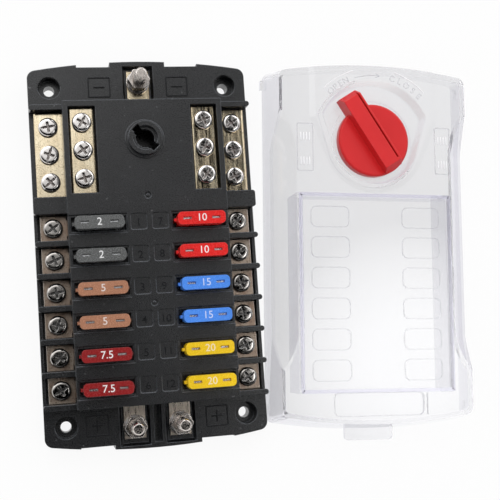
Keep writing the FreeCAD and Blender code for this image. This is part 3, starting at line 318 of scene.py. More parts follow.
def makeMetalGroup():
    # Rolled metal: long faint lines one way, cloudy stain and small pits.
    group, start, end = newGroup("rolledMetal",
                                 [("Point", "Vector", (0, 0, 0)), ("Stretch", "Vector", (1, 1, 1)),
                                  ("Lines", "Float", 900.0), ("Depth", "Float", 0.3)],
                                 [("Normal", "Vector"), ("Stain", "Float"), ("Pits", "Float"),
                                  ("Gloss", "Float")])
    point = start.outputs["Point"]
    along = addNode(group, "VectorMath", {0: point, 1: start.outputs["Stretch"]}, operation="MULTIPLY")
    lines = addNode(group, "TexNoise", {"Vector": along.outputs[0], "Scale": start.outputs["Lines"],
                                        "Detail": 2.0})
    bump = addNode(group, "Bump", {"Strength": start.outputs["Depth"], "Distance": metalLook["height"],
                                   "Height": lines.outputs["Fac"]})
    cloud = addNode(group, "TexNoise", {"Vector": point, "Scale": metalLook["cloud"], "Detail": 5.0})
    pits = addNode(group, "TexNoise", {"Vector": point, "Scale": metalLook["pit"], "Detail": 2.0})
    gloss = spread(group, lines.outputs["Fac"], *usualNoise, -metalLook["gloss"], metalLook["gloss"])
    plug(group, end.inputs["Normal"], bump.outputs["Normal"])
    plug(group, end.inputs["Stain"], spread(group, cloud.outputs["Fac"], *metalLook["stainRange"]))
    plug(group, end.inputs["Pits"], spread(group, pits.outputs["Fac"], *metalLook["pitRange"]))
    plug(group, end.inputs["Gloss"], gloss)
    return group


grainGroup, edgeWearAndHighlightGroup, metalGroup = makeGrainGroup(), makeWearGroup(), makeMetalGroup()


def placeGroup(tree, group, values):
    return addNode(tree, "Group", values, node_tree=group)


def newMaterial(name):
    material = bpy.data.materials.new(name)
    material.use_nodes = True
    tree = material.node_tree
    return material, tree, nodeOf(tree, "BSDF_PRINCIPLED")


def setShader(tree, shader, **values):
    for label, value in values.items():
        plug(tree, shader.inputs[label.replace("_", " ")], value)


def addTo(tree, value, amount):
    return calculate(tree, "ADD", value, amount, clamp=True)


def joinNormals(tree, bump, soft):
    # The grain's small tilt is laid over the softened edge.
    plain = addNode(tree, "NewGeometry").outputs["Normal"]
    tilt = addNode(tree, "VectorMath", {0: bump, 1: plain}, operation="SUBTRACT").outputs[0]
    both = addNode(tree, "VectorMath", {0: soft, 1: tilt}, operation="ADD").outputs[0]
    return addNode(tree, "VectorMath", {0: both}, operation="NORMALIZE").outputs[0]


dustColour = (0.42, 0.43, 0.45, 1)


def plasticMaterial(name, dark, light, edge, roughness, depth, dust, edgeRadius, shine):
    material, tree, shader = newMaterial(name)
    grain = placeGroup(tree, grainGroup, {"Point": objectPoint(tree), "Depth": depth, "Dust": dust})
    wearAndHighlight = placeGroup(tree, edgeWearAndHighlightGroup, {"Radius": edgeRadius, "Lit": 1.0})
    colour = mixColour(tree, grain.outputs["Tone"], (*dark, 1), (*light, 1))
    # Lighter edges, strongest where they face the light: partly wear, partly painted highlight.
    colour = mixColour(tree, wearAndHighlight.outputs["Edge"], colour, (*edge, 1))
    colour = mixColour(tree, grain.outputs["Specks"], colour, dustColour)
    setShader(tree, shader, Base_Color=colour, Roughness=addTo(tree, grain.outputs["Gloss"], roughness),
              Specular_IOR_Level=shine,
              Normal=joinNormals(tree, grain.outputs["Normal"], wearAndHighlight.outputs["Normal"]))
    return material


def metalMaterial(name, bright, stain, edge, pit, roughness, stretch, depth=0.25, lines=900.0, reach=0.00025):
    material, tree, shader = newMaterial(name)
    metal = placeGroup(tree, metalGroup, {"Point": objectPoint(tree), "Stretch": stretch, "Lines": lines,
                                          "Depth": depth})
    wearAndHighlight = placeGroup(tree, edgeWearAndHighlightGroup, {"Radius": reach})
    colour = mixColour(tree, metal.outputs["Stain"], (*bright, 1), (*stain, 1))
    colour = mixColour(tree, metal.outputs["Pits"], colour, (*pit, 1))
    # Edge colour: partly wear, partly painted highlight.
    colour = mixColour(tree, wearAndHighlight.outputs["Edge"], colour, (*edge, 1))
    setShader(tree, shader, Base_Color=colour, Metallic=1.0,
              Roughness=addTo(tree, metal.outputs["Gloss"], roughness),
              Normal=joinNormals(tree, metal.outputs["Normal"], wearAndHighlight.outputs["Normal"]))
    return material


fuseLook = {"grain": 1800.0, "depth": 0.03, "edgeRadius": 0.0003, "deep": 0.86, "pale": 0.07, "roughness": 0.26,
            "ior": 1.5, "shine": 0.3}


def fuseMaterial(name, colour, see):
    # Translucent moulding: the stamping inside shows through a little.
    material, tree, shader = newMaterial(name)
    grain = placeGroup(tree, grainGroup, {"Point": objectPoint(tree), "Grain": fuseLook["grain"],
                                          "Depth": fuseLook["depth"], "Dust": 0.0})
    wearAndHighlight = placeGroup(tree, edgeWearAndHighlightGroup, {"Radius": fuseLook["edgeRadius"]})
    deep = tuple(part * fuseLook["deep"] for part in colour)
    pale = tuple(part + (1 - part) * fuseLook["pale"] for part in colour)
    tone = mixColour(tree, grain.outputs["Tone"], (*colour, 1), (*deep, 1))
    # Paler edges: painted highlight.
    tone = mixColour(tree, wearAndHighlight.outputs["Edge"], tone, (*pale, 1))
    setShader(tree, shader, Base_Color=tone,
              Roughness=addTo(tree, grain.outputs["Gloss"], fuseLook["roughness"]),
              Normal=joinNormals(tree, grain.outputs["Normal"], wearAndHighlight.outputs["Normal"]),
              Transmission_Weight=see, IOR=fuseLook["ior"], Specular_IOR_Level=fuseLook["shine"])
    return material


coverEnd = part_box("cover")[1][1]  # in metres
glass = {"faceTint": (0.81, 0.81, 0.82), "rimTint": (0.85, 0.84, 0.93), "reliefHighlightTint": (0.97, 0.97, 0.98),
         "edgeTint": (0.74, 0.72, 0.88), "edgeRange": (0.30, 0.95), "edgeBlend": 0.35,
         "shade": (0.93, 0.93, 0.95), "clear": 0.86, "reliefHighlightClear": 0.25, "ior": 1.09, "coatIor": 1.5,
         "coatRoughness": 0.04, "haze": 38.0, "hazeRange": (0.35, 0.65), "gloss": (0.02, 0.07),
         "rippleDepth": 0.02, "rippleHeight": 0.0004, "whiteTurn": (0.2, 0.6), "whiteShare": 0.7,
         "whiteBand": (0.014, 0.010)}


def clearMaterial(name, faceTint, see):
    # Clear moulded plastic, faintly milky: a violet grey gathers where a wall is seen along its length.
    material, tree, shader = newMaterial(name)
    point = objectPoint(tree)
    haze = addNode(tree, "TexNoise", {"Vector": point, "Scale": glass["haze"], "Detail": 3.0}).outputs["Fac"]
    ripple = addNode(tree, "Bump", {"Strength": glass["rippleDepth"], "Distance": glass["rippleHeight"],
                                    "Height": haze})
    facing = addNode(tree, "LayerWeight", {"Blend": glass["edgeBlend"]}).outputs["Facing"]
    colour = mixColour(tree, spread(tree, facing, *glass["edgeRange"]), (*faceTint, 1), (*glass["edgeTint"], 1))
    # Painted highlight: the wall at the upper end, which stands in the lamp's light, is painted white.
    surface = addNode(tree, "NewGeometry").outputs
    turned = calculate(tree, "ABSOLUTE", partOf(tree, surface["Normal"], "Y"))
    turned = spread(tree, turned, *glass["whiteTurn"], 0.0, glass["whiteShare"])
    band = [coverEnd - part for part in glass["whiteBand"]]
    upper = spread(tree, partOf(tree, point, "Y"), *band)
    colour = mixColour(tree, calculate(tree, "MULTIPLY", turned, upper), colour, (1, 1, 1, 1))
    # The coat is on the outside alone.
    outside = calculate(tree, "SUBTRACT", 1.0, surface["Backfacing"])
    setShader(tree, shader, Base_Color=colour,
              Roughness=spread(tree, haze, *glass["hazeRange"], *glass["gloss"]),
              Normal=ripple.outputs["Normal"], IOR=glass["ior"], Transmission_Weight=see, Coat_Weight=outside,
              Coat_Roughness=glass["coatRoughness"], Coat_IOR=glass["coatIor"])
    # Light for the surfaces below passes straight through, a little dimmed.
    path = addNode(tree, "LightPath").outputs
    through = calculate(tree, "MAXIMUM", path["Is Shadow Ray"], path["Is Diffuse Ray"])
    shade = addNode(tree, "BsdfTransparent", {"Color": (*glass["shade"], 1)})
    mixed = addNode(tree, "MixShader", {0: through, 1: shader.outputs[0], 2: shade.outputs[0]})
    plug(tree, nodeOf(tree, "OUTPUT_MATERIAL").inputs["Surface"], mixed.outputs[0])
    return material


paint = {"grain": 3200.0, "depth": 0.15, "dull": 0.88, "roughness": 0.5, "white": 0.92}


def paintMaterial(name, colour):
    material, tree, shader = newMaterial(name)
    grain = placeGroup(tree, grainGroup, {"Point": objectPoint(tree), "Grain": paint["grain"],
                                          "Depth": paint["depth"], "Dust": 0.0})
    dull = tuple(part * paint["dull"] for part in colour)
    setShader(tree, shader, Base_Color=mixColour(tree, grain.outputs["Tone"], (*colour, 1), (*dull, 1)),
              Roughness=addTo(tree, grain.outputs["Gloss"], paint["roughness"]), Normal=grain.outputs["Normal"])
    return material


# Plastics: two tones of the moulding, the edge's colour (partly wear, partly painted highlight), gloss, grain
# depth, dust, edge width and shine.
plastics = {
    "housingPlastic": {"dark": (0.006, 0.0065, 0.0075), "light": (0.010, 0.0105, 0.012),
                       "edge": (0.150, 0.163, 0.185), "roughness": 0.29, "depth": 0.22, "dust": 0.16,
                       "edgeRadius": 0.00045, "shine": 0.6},
    "knobPlastic": {"dark": (0.62, 0.015, 0.018), "light": (0.68, 0.020, 0.023), "edge": (0.92, 0.085, 0.070),
                    "roughness": 0.34, "depth": 0.10, "dust": 0.0, "edgeRadius": 0.0004, "shine": 0.3},
    "keyPlastic": {"dark": (0.50, 0.014, 0.014), "light": (0.60, 0.018, 0.018), "edge": (0.75, 0.08, 0.07),
                   "roughness": 0.42, "depth": 0.20, "dust": 0.0, "edgeRadius": 0.0002, "shine": 0.5},
    "housingMark": {"dark": (0.003, 0.003, 0.004), "light": (0.005, 0.005, 0.006),
                    "edge": (0.115, 0.120, 0.135), "roughness": 0.65, "depth": 0.20, "dust": 0.0,
                    "edgeRadius": 0.00012, "shine": 0.2},
    "signMark": {"dark": (0.004, 0.004, 0.005), "light": (0.006, 0.006, 0.007), "edge": (0.115, 0.120, 0.135),
                 "roughness": 0.60, "depth": 0.20, "dust": 0.0, "edgeRadius": 0.00015, "shine": 0.25}}
plastic = {name: plasticMaterial(name, **look) for name, look in plastics.items()}

# Metals: stretch is how the rolled lines run, and reach is the width of the edge colour, partly wear and partly
# painted highlight.
alongBar, alongAxis, alongBlade = (1, 0.08, 1), (1, 1, 0.2), (1, 1, 0.1)
metals = {
    "platedBar": {"bright": (0.88, 0.77, 0.56), "stain": (0.76, 0.63, 0.43), "edge": (0.50, 0.24, 0.10),
                  "pit": (0.60, 0.50, 0.34), "roughness": 0.17, "stretch": alongBar, "reach": 0.0005},
    # The copper's pale edge colour is a painted highlight along its edges and bent lips.
    "copperTerminal": {"bright": (0.39, 0.325, 0.265), "stain": (0.29, 0.20, 0.150), "edge": (0.98, 0.90, 0.82),
                       "pit": (0.20, 0.15, 0.12), "roughness": 0.34, "stretch": alongBar, "reach": 0.00045},
    "brightScrew": {"bright": (0.74, 0.71, 0.69), "stain": (0.68, 0.65, 0.63), "edge": (0.95, 0.93, 0.92),
                    "pit": (0.68, 0.65, 0.63), "roughness": 0.15, "stretch": alongAxis, "depth": 0.06,
                    "lines": 600.0},
    # A darker copy of the bright screw steel: painted shade on the output screws.
    "shadedOutputScrew": {"bright": (0.50, 0.475, 0.45), "stain": (0.40, 0.38, 0.36), "edge": (0.95, 0.93, 0.90),
                    "pit": (0.42, 0.40, 0.38), "roughness": 0.13, "stretch": alongAxis, "depth": 0.06,
                    "lines": 600.0},
    # The nut's near-white edge colour is a painted highlight against its darker faces.
    "nutSteel": {"bright": (0.64, 0.59, 0.55), "stain": (0.58, 0.53, 0.49), "edge": (0.99, 0.95, 0.92),
                 "pit": (0.60, 0.55, 0.51), "roughness": 0.20, "stretch": alongAxis, "depth": 0.0,
                 "lines": 500.0, "reach": 0.0004},
    "busBar": {"bright": (0.62, 0.55, 0.47), "stain": (0.50, 0.43, 0.36), "edge": (0.90, 0.86, 0.80),
               "pit": (0.46, 0.40, 0.34), "roughness": 0.30, "stretch": alongBar},
    # The two recess steels are darker copies of the screw steel: painted shade in the cross and slot.
    "recessPaintedShade": {"bright": (0.17, 0.165, 0.16), "stain": (0.09, 0.087, 0.084), "edge": (0.80, 0.79, 0.78),
                    "pit": (0.05, 0.05, 0.05), "roughness": 0.30, "stretch": alongAxis, "depth": 0.2},
    "paleRecessPaintedShade": {"bright": (0.36, 0.33, 0.31), "stain": (0.24, 0.21, 0.20), "edge": (0.90, 0.87, 0.84),
                   "pit": (0.14, 0.12, 0.11), "roughness": 0.32, "stretch": alongAxis, "depth": 0.2},
    "springSteel": {"bright": (0.46, 0.46, 0.47), "stain": (0.34, 0.34, 0.35), "edge": (0.62, 0.62, 0.62),
                    "pit": (0.26, 0.26, 0.27), "roughness": 0.34, "stretch": alongAxis},
    "tinnedElement": {"bright": (0.80, 0.81, 0.82), "stain": (0.64, 0.65, 0.67), "edge": (0.88, 0.89, 0.90),
                      "pit": (0.55, 0.56, 0.58), "roughness": 0.28, "stretch": alongBlade}}
metal = {name: metalMaterial(name, **look) for name, look in metals.items()}

# The fuses: how much light the body lets through, and how well its printed digits cover it.
fuseTones = {"fuse_grey": (0.185, 0.19, 0.19), "fuse_tan": (0.47, 0.215, 0.125),
             "fuse_brown": (0.30, 0.013, 0.014), "fuse_red": (0.80, 0.016, 0.014),
             "fuse_blue": (0.075, 0.28, 0.90), "fuse_yellow": (0.95, 0.62, 0.008)}
fuseSee = {"fuse_grey": 0.42, "fuse_tan": 0.12, "fuse_brown": 0.12, "fuse_red": 0.08, "fuse_blue": 0.08,
           "fuse_yellow": 0.08}
digitCover = {"fuse_grey": 0.85, "fuse_tan": 0.62, "fuse_brown": 0.88, "fuse_red": 0.88, "fuse_blue": 0.55,
              "fuse_yellow": 0.55}
fusePlastic = {slot: fuseMaterial(slot, tone, fuseSee[slot]) for slot, tone in fuseTones.items()}
clear = clearMaterial("clearCoverPlastic", glass["faceTint"], glass["clear"])
clearRim = clearMaterial("clearCoverRim", glass["rimTint"], glass["clear"])
# Rules and ribs: a whiter, less clear copy of the clear plastic, as painted highlight.
reliefHighlight = clearMaterial("reliefPaintedHighlight", glass["reliefHighlightTint"], glass["reliefHighlightClear"])
digitPaint = {slot: paintMaterial("digits_" + slot, tuple(paint["white"] * share + part * (1 - share)
                                                          for part in fuseTones[slot]))
              for slot, share in digitCover.items()}

slotMaterials = {"housing": plastic["housingPlastic"], "plated_brass": metal["platedBar"],
                 "copper_alloy": metal["copperTerminal"], "bright_steel": metal["brightScrew"],
                 "dark_steel": metal["springSteel"], "tinned_alloy": metal["tinnedElement"],
                 "clear_plastic": clear, "knob_red": plastic["knobPlastic"],
                 "key_plastic": plastic["keyPlastic"], **fusePlastic}
nodeMaterials = {"stud_nuts": metal["nutSteel"], "stud_flat_washers": metal["nutSteel"],
                 "positive_bus_left": metal["busBar"], "positive_bus_right": metal["busBar"]}
for part in frame["record"]["subparts"]:
    finish = nodeMaterials.get(part["node"], slotMaterials[part["material_slot"]])
    nodes[part["node"]].data.materials.clear()
    nodes[part["node"]].data.materials.append(finish)
print("materials ready:", len(bpy.data.materials))

screw = {"headRadius": 3.9, "headHeight": 2.1, "crown": 1.35, "crownSteps": 5, "crownShape": 0.62,
         "shankRadius": 1.95, "shankLength": 9.0, "point": 0.1, "pointTaper": (0.7, 0.7, 1), "sides": 40,
         "crossLength": 4.9, "crossWidth": 1.25, "crossDepth": 1.45, "slotLength": 7.0, "slotWidth": 0.85,
         "slotDepth": 0.75, "taper": (0.72, 0.55, 1)}
# How far each drive is turned: the left column from the top down, then the right one.
outputAngles = (38, 22, 8, 65, 52, 28, 48, 33, 14, 6, 24, 31)
barAngles = (42, 15, 70, 33, 8, 58, 26, 49, 12, 64, 36, 20)


def taperedBar(length, width, depth, turn):
    # A cutter for the drive: narrower below, and proud of the head.
    proud = 1.0
    middle = screw["headHeight"] - depth / 2 + proud / 2
    bpy.ops.mesh.primitive_cube_add(size=1, location=(0, 0, middle * mm))
    bar = bpy.context.active_object
    bar.scale = (length * mm, width * mm, (depth + proud) * mm)
    applyPlace(bar)
    startEdit(bar)
    pickFaces(bar, lambda centre, normal: normal.z < -0.5)
    bpy.ops.transform.resize(value=screw["taper"])
    endEdit()
    bar.data.transform(Matrix.Rotation(math.radians(turn), 4, "Z"))
    return bar


def makeScrew():
    deselectAll()
    bpy.ops.mesh.primitive_cylinder_add(vertices=screw["sides"], radius=screw["headRadius"] * mm,
                                        depth=screw["headHeight"] * mm,
                                        location=(0, 0, screw["headHeight"] / 2 * mm))
    head = applyPlace(bpy.context.active_object)
    top = screw["headHeight"] * mm
    startEdit(head, "EDGE")
    pickEdges(head, lambda one, two: abs(one.z - top) < 1e-7 and abs(two.z - top) < 1e-7)
    bpy.ops.mesh.bevel(offset=screw["crown"] * mm, segments=screw["crownSteps"], profile=screw["crownShape"])
    pickFaces(head, lambda centre, normal: normal.z < -0.5)
    bpy.ops.mesh.inset(thickness=(screw["headRadius"] - screw["shankRadius"]) * mm)
    for share in (1 - screw["point"], screw["point"]):
        reach = (0, 0, -screw["shankLength"] * share * mm)
        bpy.ops.mesh.extrude_region_move(TRANSFORM_OT_translate={"value": reach})
    bpy.ops.transform.resize(value=screw["pointTaper"])
    endEdit()
    cross = (screw["crossLength"], screw["crossWidth"], screw["crossDepth"])
    slot = (screw["slotLength"], screw["slotWidth"], screw["slotDepth"])
    cutters = [taperedBar(*cross, 0), taperedBar(*cross, 90), taperedBar(*slot, 0)]
    for cutter in cutters:
        useModifier(head, "BOOLEAN", object=cutter, operation="DIFFERENCE", solver="EXACT")
        bpy.data.objects.remove(cutter)
    return mendNormals(head)


def isRecess(centre, normal):
    # The walls of the cross and the floor of its slot.
    slack = 0.1
    radius = math.hypot(centre.x, centre.y) / mm
    height = centre.z / mm
    wall = abs(normal.z) < 0.6 and height > screw["headHeight"] - screw["crossDepth"] - slack
    floor = normal.z > 0.6 and height < screw["headHeight"] - screw["slotDepth"] + slack
    return radius < screw["slotLength"] / 2 - slack and (wall or floor)


def setScrews(name, angles, node, order):
    seats = [((low[0] + high[0]) / 2, (low[1] + high[1]) / 2, high[2] - screw["headHeight"])
             for low, high in islandsOf(node)]
    copies = []
    for (x, y, z), angle in zip(sorted(seats, key=order), angles):
        place = Matrix.Translation((x * mm, y * mm, z * mm)) @ Matrix.Rotation(math.radians(angle), 4, "Z")
        copies.append(copyOf(pattern, place))
    piece = joinAll(name, copies)
    activate(piece)
    bpy.ops.object.shade_smooth_by_angle(angle=math.radians(30))
    finishPiece(piece, "block")
    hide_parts(node)


pattern = makeScrew()
# The cross and slot faces take a recess steel: painted shade in the drive.
pattern.data.materials.append(metal["shadedOutputScrew"])
pattern.data.materials.append(metal["recessPaintedShade"])
for face in pattern.data.polygons:
    face.material_index = 1 if isRecess(face.center, face.normal) else 0
setScrews("outputScrewSet", outputAngles, "output_screws", lambda seat: (seat[0] > 0, -seat[1]))
pattern.data.materials[0], pattern.data.materials[1] = metal["brightScrew"], metal["paleRecessPaintedShade"]
setScrews("barScrewSet", barAngles, "negative_screws",
          lambda seat: (seat[0] > 0, round(seat[1]), -abs(seat[0])))
bpy.data.objects.remove(pattern)
print("screws set")

stud = {"radius": 2.45, "pitch": 0.8, "depth": 0.42, "flank": 1.25, "foot": 3.0, "threadFoot": 12.0,
        "tip": 26.3, "ringsPerPitch": 6, "sides": 36, "chamfer": 0.6}


def makeStud():
    # A plain shank, then rings of points whose radius follows the thread's helix.
    deselectAll()
    plainLength = stud["threadFoot"] - stud["foot"]
    bpy.ops.mesh.primitive_cylinder_add(vertices=stud["sides"], radius=stud["radius"] * mm,
                                        depth=plainLength * mm,
                                        location=(0, 0, (stud["foot"] + plainLength / 2) * mm))
    shank = applyPlace(bpy.context.active_object)
    step = stud["pitch"] / stud["ringsPerPitch"]
    rings = round((stud["tip"] - stud["threadFoot"]) / step)
    startEdit(shank)
    pickFaces(shank, lambda centre, normal: normal.z > 0.5)
    for _ in range(rings):
        bpy.ops.mesh.extrude_region_move(TRANSFORM_OT_translate={"value": (0, 0, step * mm)})
    endEdit()
    for vertex in shank.data.vertices:
        height = vertex.co.z / mm
        if height < stud["threadFoot"] + step / 2:
            continue
        angle = math.atan2(vertex.co.y, vertex.co.x)
        phase = ((height / stud["pitch"]) - angle / (2 * math.pi)) % 1.0
        groove = 1 - abs(phase * 2 - 1) * stud["flank"]
        radius = stud["radius"] - stud["depth"] * max(0.0, groove)
        radius = min(radius, stud["radius"] - max(0.0, height - (stud["tip"] - stud["chamfer"])))
        scale = radius * mm / math.hypot(vertex.co.x, vertex.co.y)
        vertex.co.x *= scale
        vertex.co.y *= scale
    return mendNormals(shank)


pattern = makeStud()
studs = []
for low, high in islandsOf("power_studs"):
    place = Matrix.Translation(((low[0] + high[0]) / 2 * mm, (low[1] + high[1]) / 2 * mm, 0))
    studs.append(copyOf(pattern, place))
studSet = dress(joinAll("threadedStuds", studs), metal["nutSteel"], 28)
finishPiece(studSet, "block")
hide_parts("power_studs")
bpy.data.objects.remove(pattern)
print("studs set")


def setDown(piece, x, y, z, turn):
    # Turns a mesh about its own centre and puts it at its place.
    place = Matrix.Translation((x * mm, y * mm, z * mm))
    piece.data.transform(place @ Matrix.Rotation(math.radians(turn), 4, "Z"))


def makeText(words, size, x, y, z, thick, bold, turn=0.0):
    deselectAll()
    bpy.ops.object.text_add(location=(0, 0, 0))
    text = bpy.context.active_object
    text.data.body = words
    text.data.size = size * mm
    text.data.extrude = thick / 2 * mm
    text.data.offset = bold * mm
    text.data.align_x = "CENTER"
    text.data.align_y = "CENTER"
    text.data.resolution_u = 6
    bpy.ops.object.convert(target="MESH")
    text = bpy.context.active_object
    setDown(text, x, y, z, turn)
    return mendNormals(text)


def makeFrame(name, x, y, z, width, length, corner, line, thick):
    # A flat outline with rounded corners: plane, rounded corners, inset, middle taken out, thickness.
    deselectAll()
    bpy.ops.mesh.primitive_plane_add(size=1, location=(x * mm, y * mm, z * mm))
    piece = bpy.context.active_object
    piece.name = name
    piece.scale = (width * mm, length * mm, 1)
    applyPlace(piece)
    startEdit(piece, "VERT")
    bpy.ops.mesh.select_all(action="SELECT")
    bpy.ops.mesh.bevel(offset=corner * mm, segments=5, affect="VERTICES")
    bpy.ops.mesh.select_mode(type="FACE")
    bpy.ops.mesh.select_all(action="SELECT")
    bpy.ops.mesh.inset(thickness=line * mm)
    bpy.ops.mesh.delete(type="FACE")
    endEdit()
    useModifier(piece, "SOLIDIFY", thickness=thick * mm, offset=1)
    return mendNormals(piece)


def makeBar(name, x, y, z, width, length, thick, bevel, turn=0.0):
    # A short ridge with softened top edges.
    deselectAll()
    bpy.ops.mesh.primitive_cube_add(size=1, location=(0, 0, thick / 2 * mm))
    piece = bpy.context.active_object
    piece.name = name
    piece.scale = (width * mm, length * mm, thick * mm)
    applyPlace(piece)
    startEdit(piece, "EDGE")
    pickEdges(piece, lambda one, two: one.z > thick * 0.9 * mm and two.z > thick * 0.9 * mm)
    bpy.ops.mesh.bevel(offset=bevel * mm, segments=2)
    endEdit()
    setDown(piece, x, y, z, turn)
    return piece


fuseDigits = {"ratings": ("2", "2", "5", "5", "7.5", "7.5", "10", "10", "15", "15", "20", "20"),
              "size": 4.1, "thick": 0.12, "sink": 0.10, "bold": 0.02}
slotOf = {part["node"]: part["material_slot"] for part in frame["record"]["subparts"]}
for number, (x, y) in enumerate(fusePlaces, start=1):
    digits = makeText(fuseDigits["ratings"][number - 1], fuseDigits["size"], x, y,
                      fuseTop + fuseDigits["thick"] / 2 - fuseDigits["sink"], fuseDigits["thick"],
                      fuseDigits["bold"])
    digits.name = f"fuseDigits_{number}"
    slot = slotOf[f"fuse_body_{number}"]
    dress(digits, digitPaint[slot])
    finishPiece(digits, f"fuse_{number}")
print("fuse digits set")

deckMarks = {"column": 4.3, "size": 4.3, "thick": 0.3, "bold": 0.03, "sink": 0.05, "windowDepth": 0.35,
             "lift": -0.1}
pieces = []
for number, (x, y) in enumerate(fusePlaces, start=1):
    column = math.copysign(deckMarks["column"], x)
    pieces.append(makeText(str(number), deckMarks["size"], column, y + deckMarks["lift"],
                           deckTop - deckMarks["windowDepth"] - deckMarks["sink"] + deckMarks["thick"] / 2,
                           deckMarks["thick"], deckMarks["bold"]))
deckSet = dress(joinAll("deckMarks", pieces), plastic["housingMark"])
finishPiece(deckSet, "block")

poleSigns = {"frameSize": (9.2, 8.5), "corner": 0.6, "line": 0.5, "thick": 0.34, "sink": 0.05, "bar": 4.6,
             "barWidth": 0.65, "bevel": 0.1, "overlap": 0.01, "minus": (16.1, 68.6), "plus": (24.2, -68.7)}
pieces = []
signZ = baseTop - poleSigns["sink"]
for side in (-1, 1):
    for sign in ("minus", "plus"):
        x, y = poleSigns[sign][0] * side, poleSigns[sign][1]
        pieces.append(makeFrame("signFrame", x, y, signZ, *poleSigns["frameSize"], poleSigns["corner"],
                                poleSigns["line"], poleSigns["thick"]))
        pieces.append(makeBar("signBar", x, y, signZ, poleSigns["bar"], poleSigns["barWidth"],
                              poleSigns["thick"], poleSigns["bevel"]))
        if sign == "plus":
            pieces.append(makeBar("signBar", x, y, signZ, poleSigns["barWidth"], poleSigns["bar"],
                                  poleSigns["thick"] + poleSigns["overlap"], poleSigns["bevel"]))
signSet = dress(joinAll("poleSigns", pieces), plastic["signMark"])
finishPiece(signSet, "block")
print("deck marks and pole signs set")

# The cover's relief comes in two lists: clear words and outlines, and the rules and ribs, which get a whiter,
# less clear copy of the plastic as a painted highlight.
labels = {"column": 20.1, "width": 17.0, "length": 9.1, "corner": 2.6, "line": 0.4, "thick": 0.3, "sink": 0.06}
pieces = []
whitePieces = []
for x, y in fusePlaces:
    pieces.append(makeFrame("label", math.copysign(labels["column"], x), y, cover["window"] - labels["sink"],
                            labels["width"], labels["length"], labels["corner"], labels["line"],
                            labels["thick"]))

# The words and their rule stand on the raised pad round the knob. Angles are in degrees, clockwise from the
# upper end.
arcWords = {"radius": 28.0, "size": 3.7, "open": (-43.5, -38.0, -32.4, -26.8),
            "close": (17.0, 24.0, 31.2, 38.4, 45.6), "thick": 0.3, "bold": 0.02, "sink": 0.06, "bevel": 0.08,
            "ruleRadius": 31.0, "ruleSpan": ((-46.5, -17.5), (17.5, 46.8)), "ruleWidth": 0.4, "ruleStep": 3,
            "ruleOverlap": 0.05, "arrowSpan": (-18.0, 5.0), "arrowRadius": 27.9, "barbTurns": (150, 210),
            "barbLength": 2.0, "barbShift": 0.9}
wordZ = padTop - arcWords["sink"] + arcWords["thick"] / 2


def onArc(radius, angle):
    turn = math.radians(angle)
    return radius * math.sin(turn), cover["knobY"] + radius * math.cos(turn)


for letters, angles in (("OPEN", arcWords["open"]), ("CLOSE", arcWords["close"])):
    for letter, angle in zip(letters, angles):
        x, y = onArc(arcWords["radius"], angle)
        pieces.append(makeText(letter, arcWords["size"], x, y, wordZ, arcWords["thick"], arcWords["bold"],
                               -angle))
ruleZ = padTop - arcWords["sink"]


def makeArcRule(radius, low, high):
    # A thin bent ridge: short bars end to end along the arc.
    steps = round(abs(high - low) / arcWords["ruleStep"])
    length = 2 * radius * math.sin(math.radians((high - low) / steps / 2)) + arcWords["ruleOverlap"]
    bars = []
    for step in range(steps):
        angle = low + (high - low) * (step + 0.5) / steps
        x, y = onArc(radius, angle)
        bars.append(makeBar("ruleBar", x, y, ruleZ, length, arcWords["ruleWidth"], arcWords["thick"],
                            arcWords["bevel"], -angle))
    return bars


for low, high in arcWords["ruleSpan"]:
    whitePieces += makeArcRule(arcWords["ruleRadius"], low, high)
pieces += makeArcRule(arcWords["arrowRadius"], *arcWords["arrowSpan"])
x, y = onArc(arcWords["arrowRadius"], arcWords["arrowSpan"][1])
for barbTurn in arcWords["barbTurns"]:
    turn = math.radians(-arcWords["arrowSpan"][1] + barbTurn)
    pieces.append(makeBar("arrowBarb", x + math.cos(turn) * arcWords["barbShift"],
                          y + math.sin(turn) * arcWords["barbShift"], ruleZ, arcWords["barbLength"],
                          arcWords["ruleWidth"], arcWords["thick"], arcWords["bevel"], math.degrees(turn)))

ribMarks = {"column": 30.7, "centre": 39.9, "width": 7.2, "length": 20.6, "corner": 0.8, "line": 0.4,
            "thick": 0.35, "sink": 0.06, "groups": (4.6, -5.9), "ribs": 4, "ribPitch": 1.25, "ribLength": 3.4,
            "ribWidth": 0.55, "bevel": 0.12}
ribZ = cover["face"] - ribMarks["sink"]
for side in (-1, 1):
    x = ribMarks["column"] * side
    pieces.append(makeFrame("ribFrame", x, ribMarks["centre"], ribZ, ribMarks["width"], ribMarks["length"],
                            ribMarks["corner"], ribMarks["line"], ribMarks["thick"]))
    for group in ribMarks["groups"]:
        for rib in range(ribMarks["ribs"]):
            place = x + (rib - (ribMarks["ribs"] - 1) / 2) * ribMarks["ribPitch"]
            whitePieces.append(makeBar("rib", place, ribMarks["centre"] + group, ribZ, ribMarks["ribWidth"],
                                       ribMarks["ribLength"], ribMarks["thick"], ribMarks["bevel"]))
